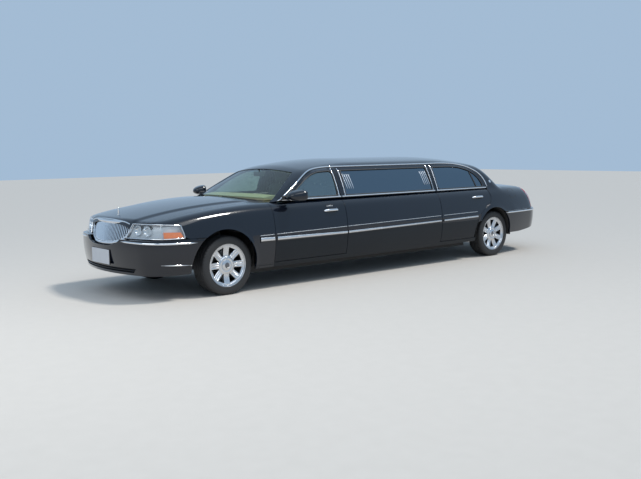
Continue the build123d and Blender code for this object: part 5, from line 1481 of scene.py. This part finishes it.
# Door mirrors: a rounded housing with a flat glass, on a short arm
MIRROR_AT = (front(0.885), 1.06, 1.088)
MIRROR_HALF = (0.106, 0.066)
MIRROR_BACK = -0.06
MIRROR_LENGTH = 0.165
MIRROR_N = 44


def mirror_ring(t, scale):
    """A ring of points round the housing: t runs from the glass to the nose"""
    a = 2 * math.pi * np.arange(MIRROR_N) / MIRROR_N
    c, s = np.cos(a), np.sin(a)
    y = np.copysign(np.abs(c) ** 0.66, c) * MIRROR_HALF[0] * scale
    z = np.copysign(np.abs(s) ** 0.66, s) * MIRROR_HALF[1] * scale
    x = MIRROR_BACK + MIRROR_LENGTH * t - 0.22 * (y + 0.02) * (1 - 0.5 * t)
    return np.column_stack([x, y - 0.012 * t, z - 0.01 * t]) + MIRROR_AT


# Sections of the housing: place and scale
SECTIONS = [
    (0.07, 0.86), (0.0, 0.89), (0.0, 0.975), (0.03, 1.0), (0.15, 1.0), (0.3, 0.97), (0.45, 0.91), (0.6, 0.82),
    (0.74, 0.69), (0.86, 0.52), (0.95, 0.32), (1.0, 0.1),
]
housing = tube([mirror_ring(t, scale) for t, scale in SECTIONS], MIRROR_N)
pair("mirror_housing", housing, [PAINT], "front_door_", "black_plastic", "mirror_", sharp=40)
glass = mirror_ring(0.055, 0.855)
pair("mirror_glass", tube([glass - (0.0025, 0, 0), glass], MIRROR_N), [CHROME], "front_door_", "chrome")
for name, centre, size, radius, mat in (
    ("mirror_arm", (front(0.86), 0.955, 1.052), (0.085, 0.12, 0.036), 0.012, PAINT),
    ("mirror_foot", (front(0.85), 0.903, 1.058), (0.12, 0.03, 0.05), 0.01, PLASTIC),
):
    rounded_box(name, centre, size, radius, mat, "front_door_", "black_plastic", mirrored=True)


# Cabin: stuffed seats, mirror and dashboard top
def turn_of(degrees, axis="Y"):
    return Matrix.Rotation(math.radians(degrees), 3, axis)


def cushion(name, centre, size, node, turn, bulge=0.02, channels=(), along=1, n=14):
    """A stuffed block: rounded corners, crowned faces, sides that pull in, and channels sewn in its upper face"""
    index, v, f = {}, [], []

    def key(c):
        k = tuple(round(q, 5) for q in c)
        if k not in index:
            index[k] = len(v)
            v.append(c)
        return index[k]

    grid = np.linspace(-1, 1, n + 1)
    for axis in range(3):
        for sign in (-1, 1):
            for i in range(n):
                for j in range(n):
                    quad = []
                    for a, b in ((i, j), (i + 1, j), (i + 1, j + 1), (i, j + 1)):
                        c = [0, 0, 0]
                        c[axis], c[(axis + 1) % 3], c[(axis + 2) % 3] = sign, grid[a], grid[b]
                        quad.append(key(tuple(c)))
                    f.append(tuple(quad if sign > 0 else quad[::-1]))
    c = np.array(v, float)
    p = c / (np.abs(c) ** 7).sum(1)[:, None] ** (1 / 7)
    half = np.array(size) / 2
    q = p * half
    mid = 1 - c ** 2
    face = np.sign(p[:, 2]) * (np.abs(p[:, 2]) > 0.7)
    q[:, 2] += face * bulge * (mid[:, 0] * mid[:, 1] - 0.35)
    q[:, :2] *= (1 - 0.035 * mid[:, 2] * (1 - 0.5 * mid[:, 0] * mid[:, 1]))[:, None]
    top = np.clip((p[:, 2] - 0.55) / 0.4, 0, 1)
    for at in channels:
        d = q[:, along] - at * half[along]
        q[:, 2] -= CHANNEL * np.exp(-((d / CHANNEL) ** 2)) * top
    v = q @ np.array(turn.transposed()) + centre
    o = emit(name, (v, f, [0] * len(f)), [LEATHER], "body", "seat_leather", node, sharp=75)
    sub = o.modifiers.new("smooth", "SUBSURF")
    sub.levels = sub.render_levels = 1


CHANNEL = 0.011
CHANNELS = (-0.55, -0.2, 0.2, 0.55)
BENCH_CHANNELS = np.linspace(-0.8, 0.8, 9)
COUCH_CHANNELS = (-0.66, -0.33, 0.0, 0.33, 0.66)
SEAT_TILT = turn_of(-4)
LEAN_BACK = turn_of(-11) @ turn_of(90)
BENCH_LEAN = turn_of(-20) @ turn_of(90)
POST = [(0.0, -0.05), (0.006, -0.05), (0.006, 0.05), (0.0, 0.05)]
for side, y in zip(SIDES, (0.38, -0.38)):
    cushion(
        "front_cushion_" + side, (front(1.385), y, 0.455), (0.47, 0.47, 0.17), "front_seats", SEAT_TILT,
        channels=CHANNELS,
    )
    cushion(
        "front_back_" + side, (front(1.72), y, 0.86), (0.62, 0.46, 0.13), "front_seats", LEAN_BACK, 0.022, CHANNELS
    )
    cushion("head_rest_" + side, (front(1.795), y, 1.262), (0.16, 0.26, 0.09), "front_seats", LEAN_BACK, 0.012, n=8)
    for i, dy in enumerate((-0.06, 0.06)):
        part = lathe(POST, (front(1.785), y + dy, 1.175), (-0.19, 0, 1), 12)
        emit("rest_post_%s_%d" % (side, i), part, [STEEL], "body", "steel")
    rounded_box(
        "seat_base_" + side, (front(1.4), y, 0.325), (0.42, 0.4, 0.07), 0.01, PLASTIC, "body", "black_plastic"
    )
cushion(
    "bench_cushion", (rear(-0.44), 0, 0.622), (0.4, 1.22, 0.17), "rear_seats", SEAT_TILT, 0.015, BENCH_CHANNELS, n=18
)
cushion(
    "bench_back", (rear(-0.13), 0, 0.78), (0.44, 1.22, 0.13), "rear_seats", BENCH_LEAN, 0.015, BENCH_CHANNELS, n=18
)
couch_x = (front(1.99) + rear(-1.297)) / 2
couch_l = front(1.99) - rear(-1.297) - 0.02
cushion(
    "side_couch_seat", (couch_x, -0.515, 0.525), (couch_l, 0.24, 0.17), "rear_seats", turn_of(0), 0.015,
    COUCH_CHANNELS, 0, 20,
)
cushion(
    "side_couch_back", (couch_x, -0.735, 0.72), (couch_l, 0.44, 0.12), "rear_seats", turn_of(-78, "X"), 0.012,
    COUCH_CHANNELS, 0, 20,
)
rounded_box("couch_base", (couch_x, -0.53, 0.365), (couch_l, 0.26, 0.14), 0.008, DARK_TRIM, "body", "trim_plastic")
rounded_box(
    "inner_mirror", (front(1.13), 0.0, 1.318), (0.03, 0.24, 0.062), 0.012, PLASTIC, "body", "black_plastic"
)
STEM = [(0.0, -0.03), (0.007, -0.03), (0.007, 0.03), (0.0, 0.03)]
part = lathe(STEM, (front(1.125), 0, 1.352), (0.3, 0, 1), 12)
emit("inner_mirror_stem", part, [PLASTIC], "body", "black_plastic")


# Wipers at rest along the foot of the windshield
def ws_line(d, y):
    """A line that follows the foot of the windshield, a distance behind the front axle at its middle"""
    return np.column_stack([front(d + 0.213 * (y / 0.8) ** 2), y])


ARM_N = 14
for i, (y_from, y_to) in enumerate(((0.6, 0.05), (-0.02, -0.58))):
    y = np.linspace(y_from, y_to, 24)
    line = on_top(lower, ws_line(0.522 - 0.012, y), PILLAR_Z)
    moulding("wiper_blade_%d" % i, line, lower, "body", 0.007, 0.006, PLASTIC, mirrored=False)
    line = on_top(lower, ws_line(0.522 - 0.022, y[:ARM_N]), PILLAR_Z)
    moulding("wiper_arm_%d" % i, line, lower, "body", 0.009, 0.005, PLASTIC, mirrored=False)

# Top of the dashboard, up against the foot of the windshield
DASH_BACK = front(0.98)
DASH_WALL = 0.05
rows = [
    [
        p - (0, 0, 0.016), ((p[0] + DASH_BACK) / 2, p[1], p[2] + 0.004), (DASH_BACK, p[1], p[2] - 0.012),
        (DASH_BACK, p[1], p[2] - DASH_WALL), p - (0, 0, DASH_WALL),
    ]
    for p in on_top(glass_form, ws_line(0.556, np.linspace(-0.66, 0.66, 41)), PILLAR_Z)
]
emit("dashboard_top", tube(rows, 5), [TRIM], "body", "trim_plastic", sharp=50)

# Finishes of the parts that stay as the engineering model has them
FINISH = {
    "chassis_frame": UNDER, "floor_pan": UNDER, "radiator_support": UNDER, "dashboard": TRIM,
    "steering_wheel": DARK_TRIM, "partition": DARK_TRIM, "engine": CAST, "front_suspension": CAST, "rear_axle": CAST,
    "drive_shaft": STEEL, "exhaust": CAST, "fuel_tank": UNDER, "knuckle_left": CAST, "knuckle_right": CAST,
}
for name, mat in FINISH.items():
    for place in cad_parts[name].material_slots:
        place.material = mat

# Camera at the photograph's place
CAM_AT = Vector((7.6535, 8.546, 1.631))
FORWARD = Vector((-0.6438, -0.7572, -0.1103)).normalized()
LEVEL_RIGHT = Vector((-0.7618, 0.6479, 0.0)).normalized()
LEVEL_UP = LEVEL_RIGHT.cross(FORWARD).normalized()
ROLL = math.radians(-0.69)
right = LEVEL_RIGHT * math.cos(ROLL) + LEVEL_UP * math.sin(ROLL)
up = LEVEL_UP * math.cos(ROLL) - LEVEL_RIGHT * math.sin(ROLL)
camera_data = bpy.data.cameras.new("camera")
camera_data.lens = 46.06
camera_data.sensor_width = 36.0
camera = bpy.data.objects.new("camera", camera_data)
bpy.context.scene.collection.objects.link(camera)
turn = Matrix((right, up, -FORWARD)).transposed()
camera.matrix_world = Matrix.Translation(CAM_AT) @ turn.to_4x4()
bpy.context.scene.camera = camera

# Floor, and an open sky that is the same all round
bpy.ops.mesh.primitive_plane_add(size=80, location=(0, 0, 0))
floor = bpy.context.object
floor.name = "floor"
floor.data.materials.append(grainy("floor", (0.53, 0.5, 0.46), (0.57, 0.54, 0.5), 0.9, 8, 0.05, 0.001))
world = bpy.data.worlds.new("studio")
bpy.context.scene.world = world
world.use_nodes = True
put(world.node_tree.nodes["Background"], Color=(0.56, 0.76, 1.0, 1), Strength=0.66)


def light(name, kind, energy, turn, place=(0, 0, 0)):
    data = bpy.data.lights.new(name, kind)
    data.energy = energy
    o = bpy.data.objects.new(name, data)
    bpy.context.scene.collection.objects.link(o)
    o.location = place
    o.rotation_euler = turn.to_euler()
    return data


sun = light("sun", "SUN", 2.2, Vector((-0.41, 0.33, 0.85)).to_track_quat("Z", "Y"))
sun.angle = math.radians(9)
sun.color = (1.0, 0.96, 0.9)
for name, place, aim, size, power in (
    ("key", (3.0, 5.5, 7.5), (0.5, 0, 0.4), (7, 4), 160), ("fill", (7.5, 1.5, 4.5), (1.5, 0, 0.6), (4, 4), 90),
):
    data = light(name, "AREA", power, (Vector(aim) - Vector(place)).to_track_quat("-Z", "Y"), place)
    data.shape = "RECTANGLE"
    data.size, data.size_y = size
bpy.context.scene.view_settings.view_transform = "Standard"
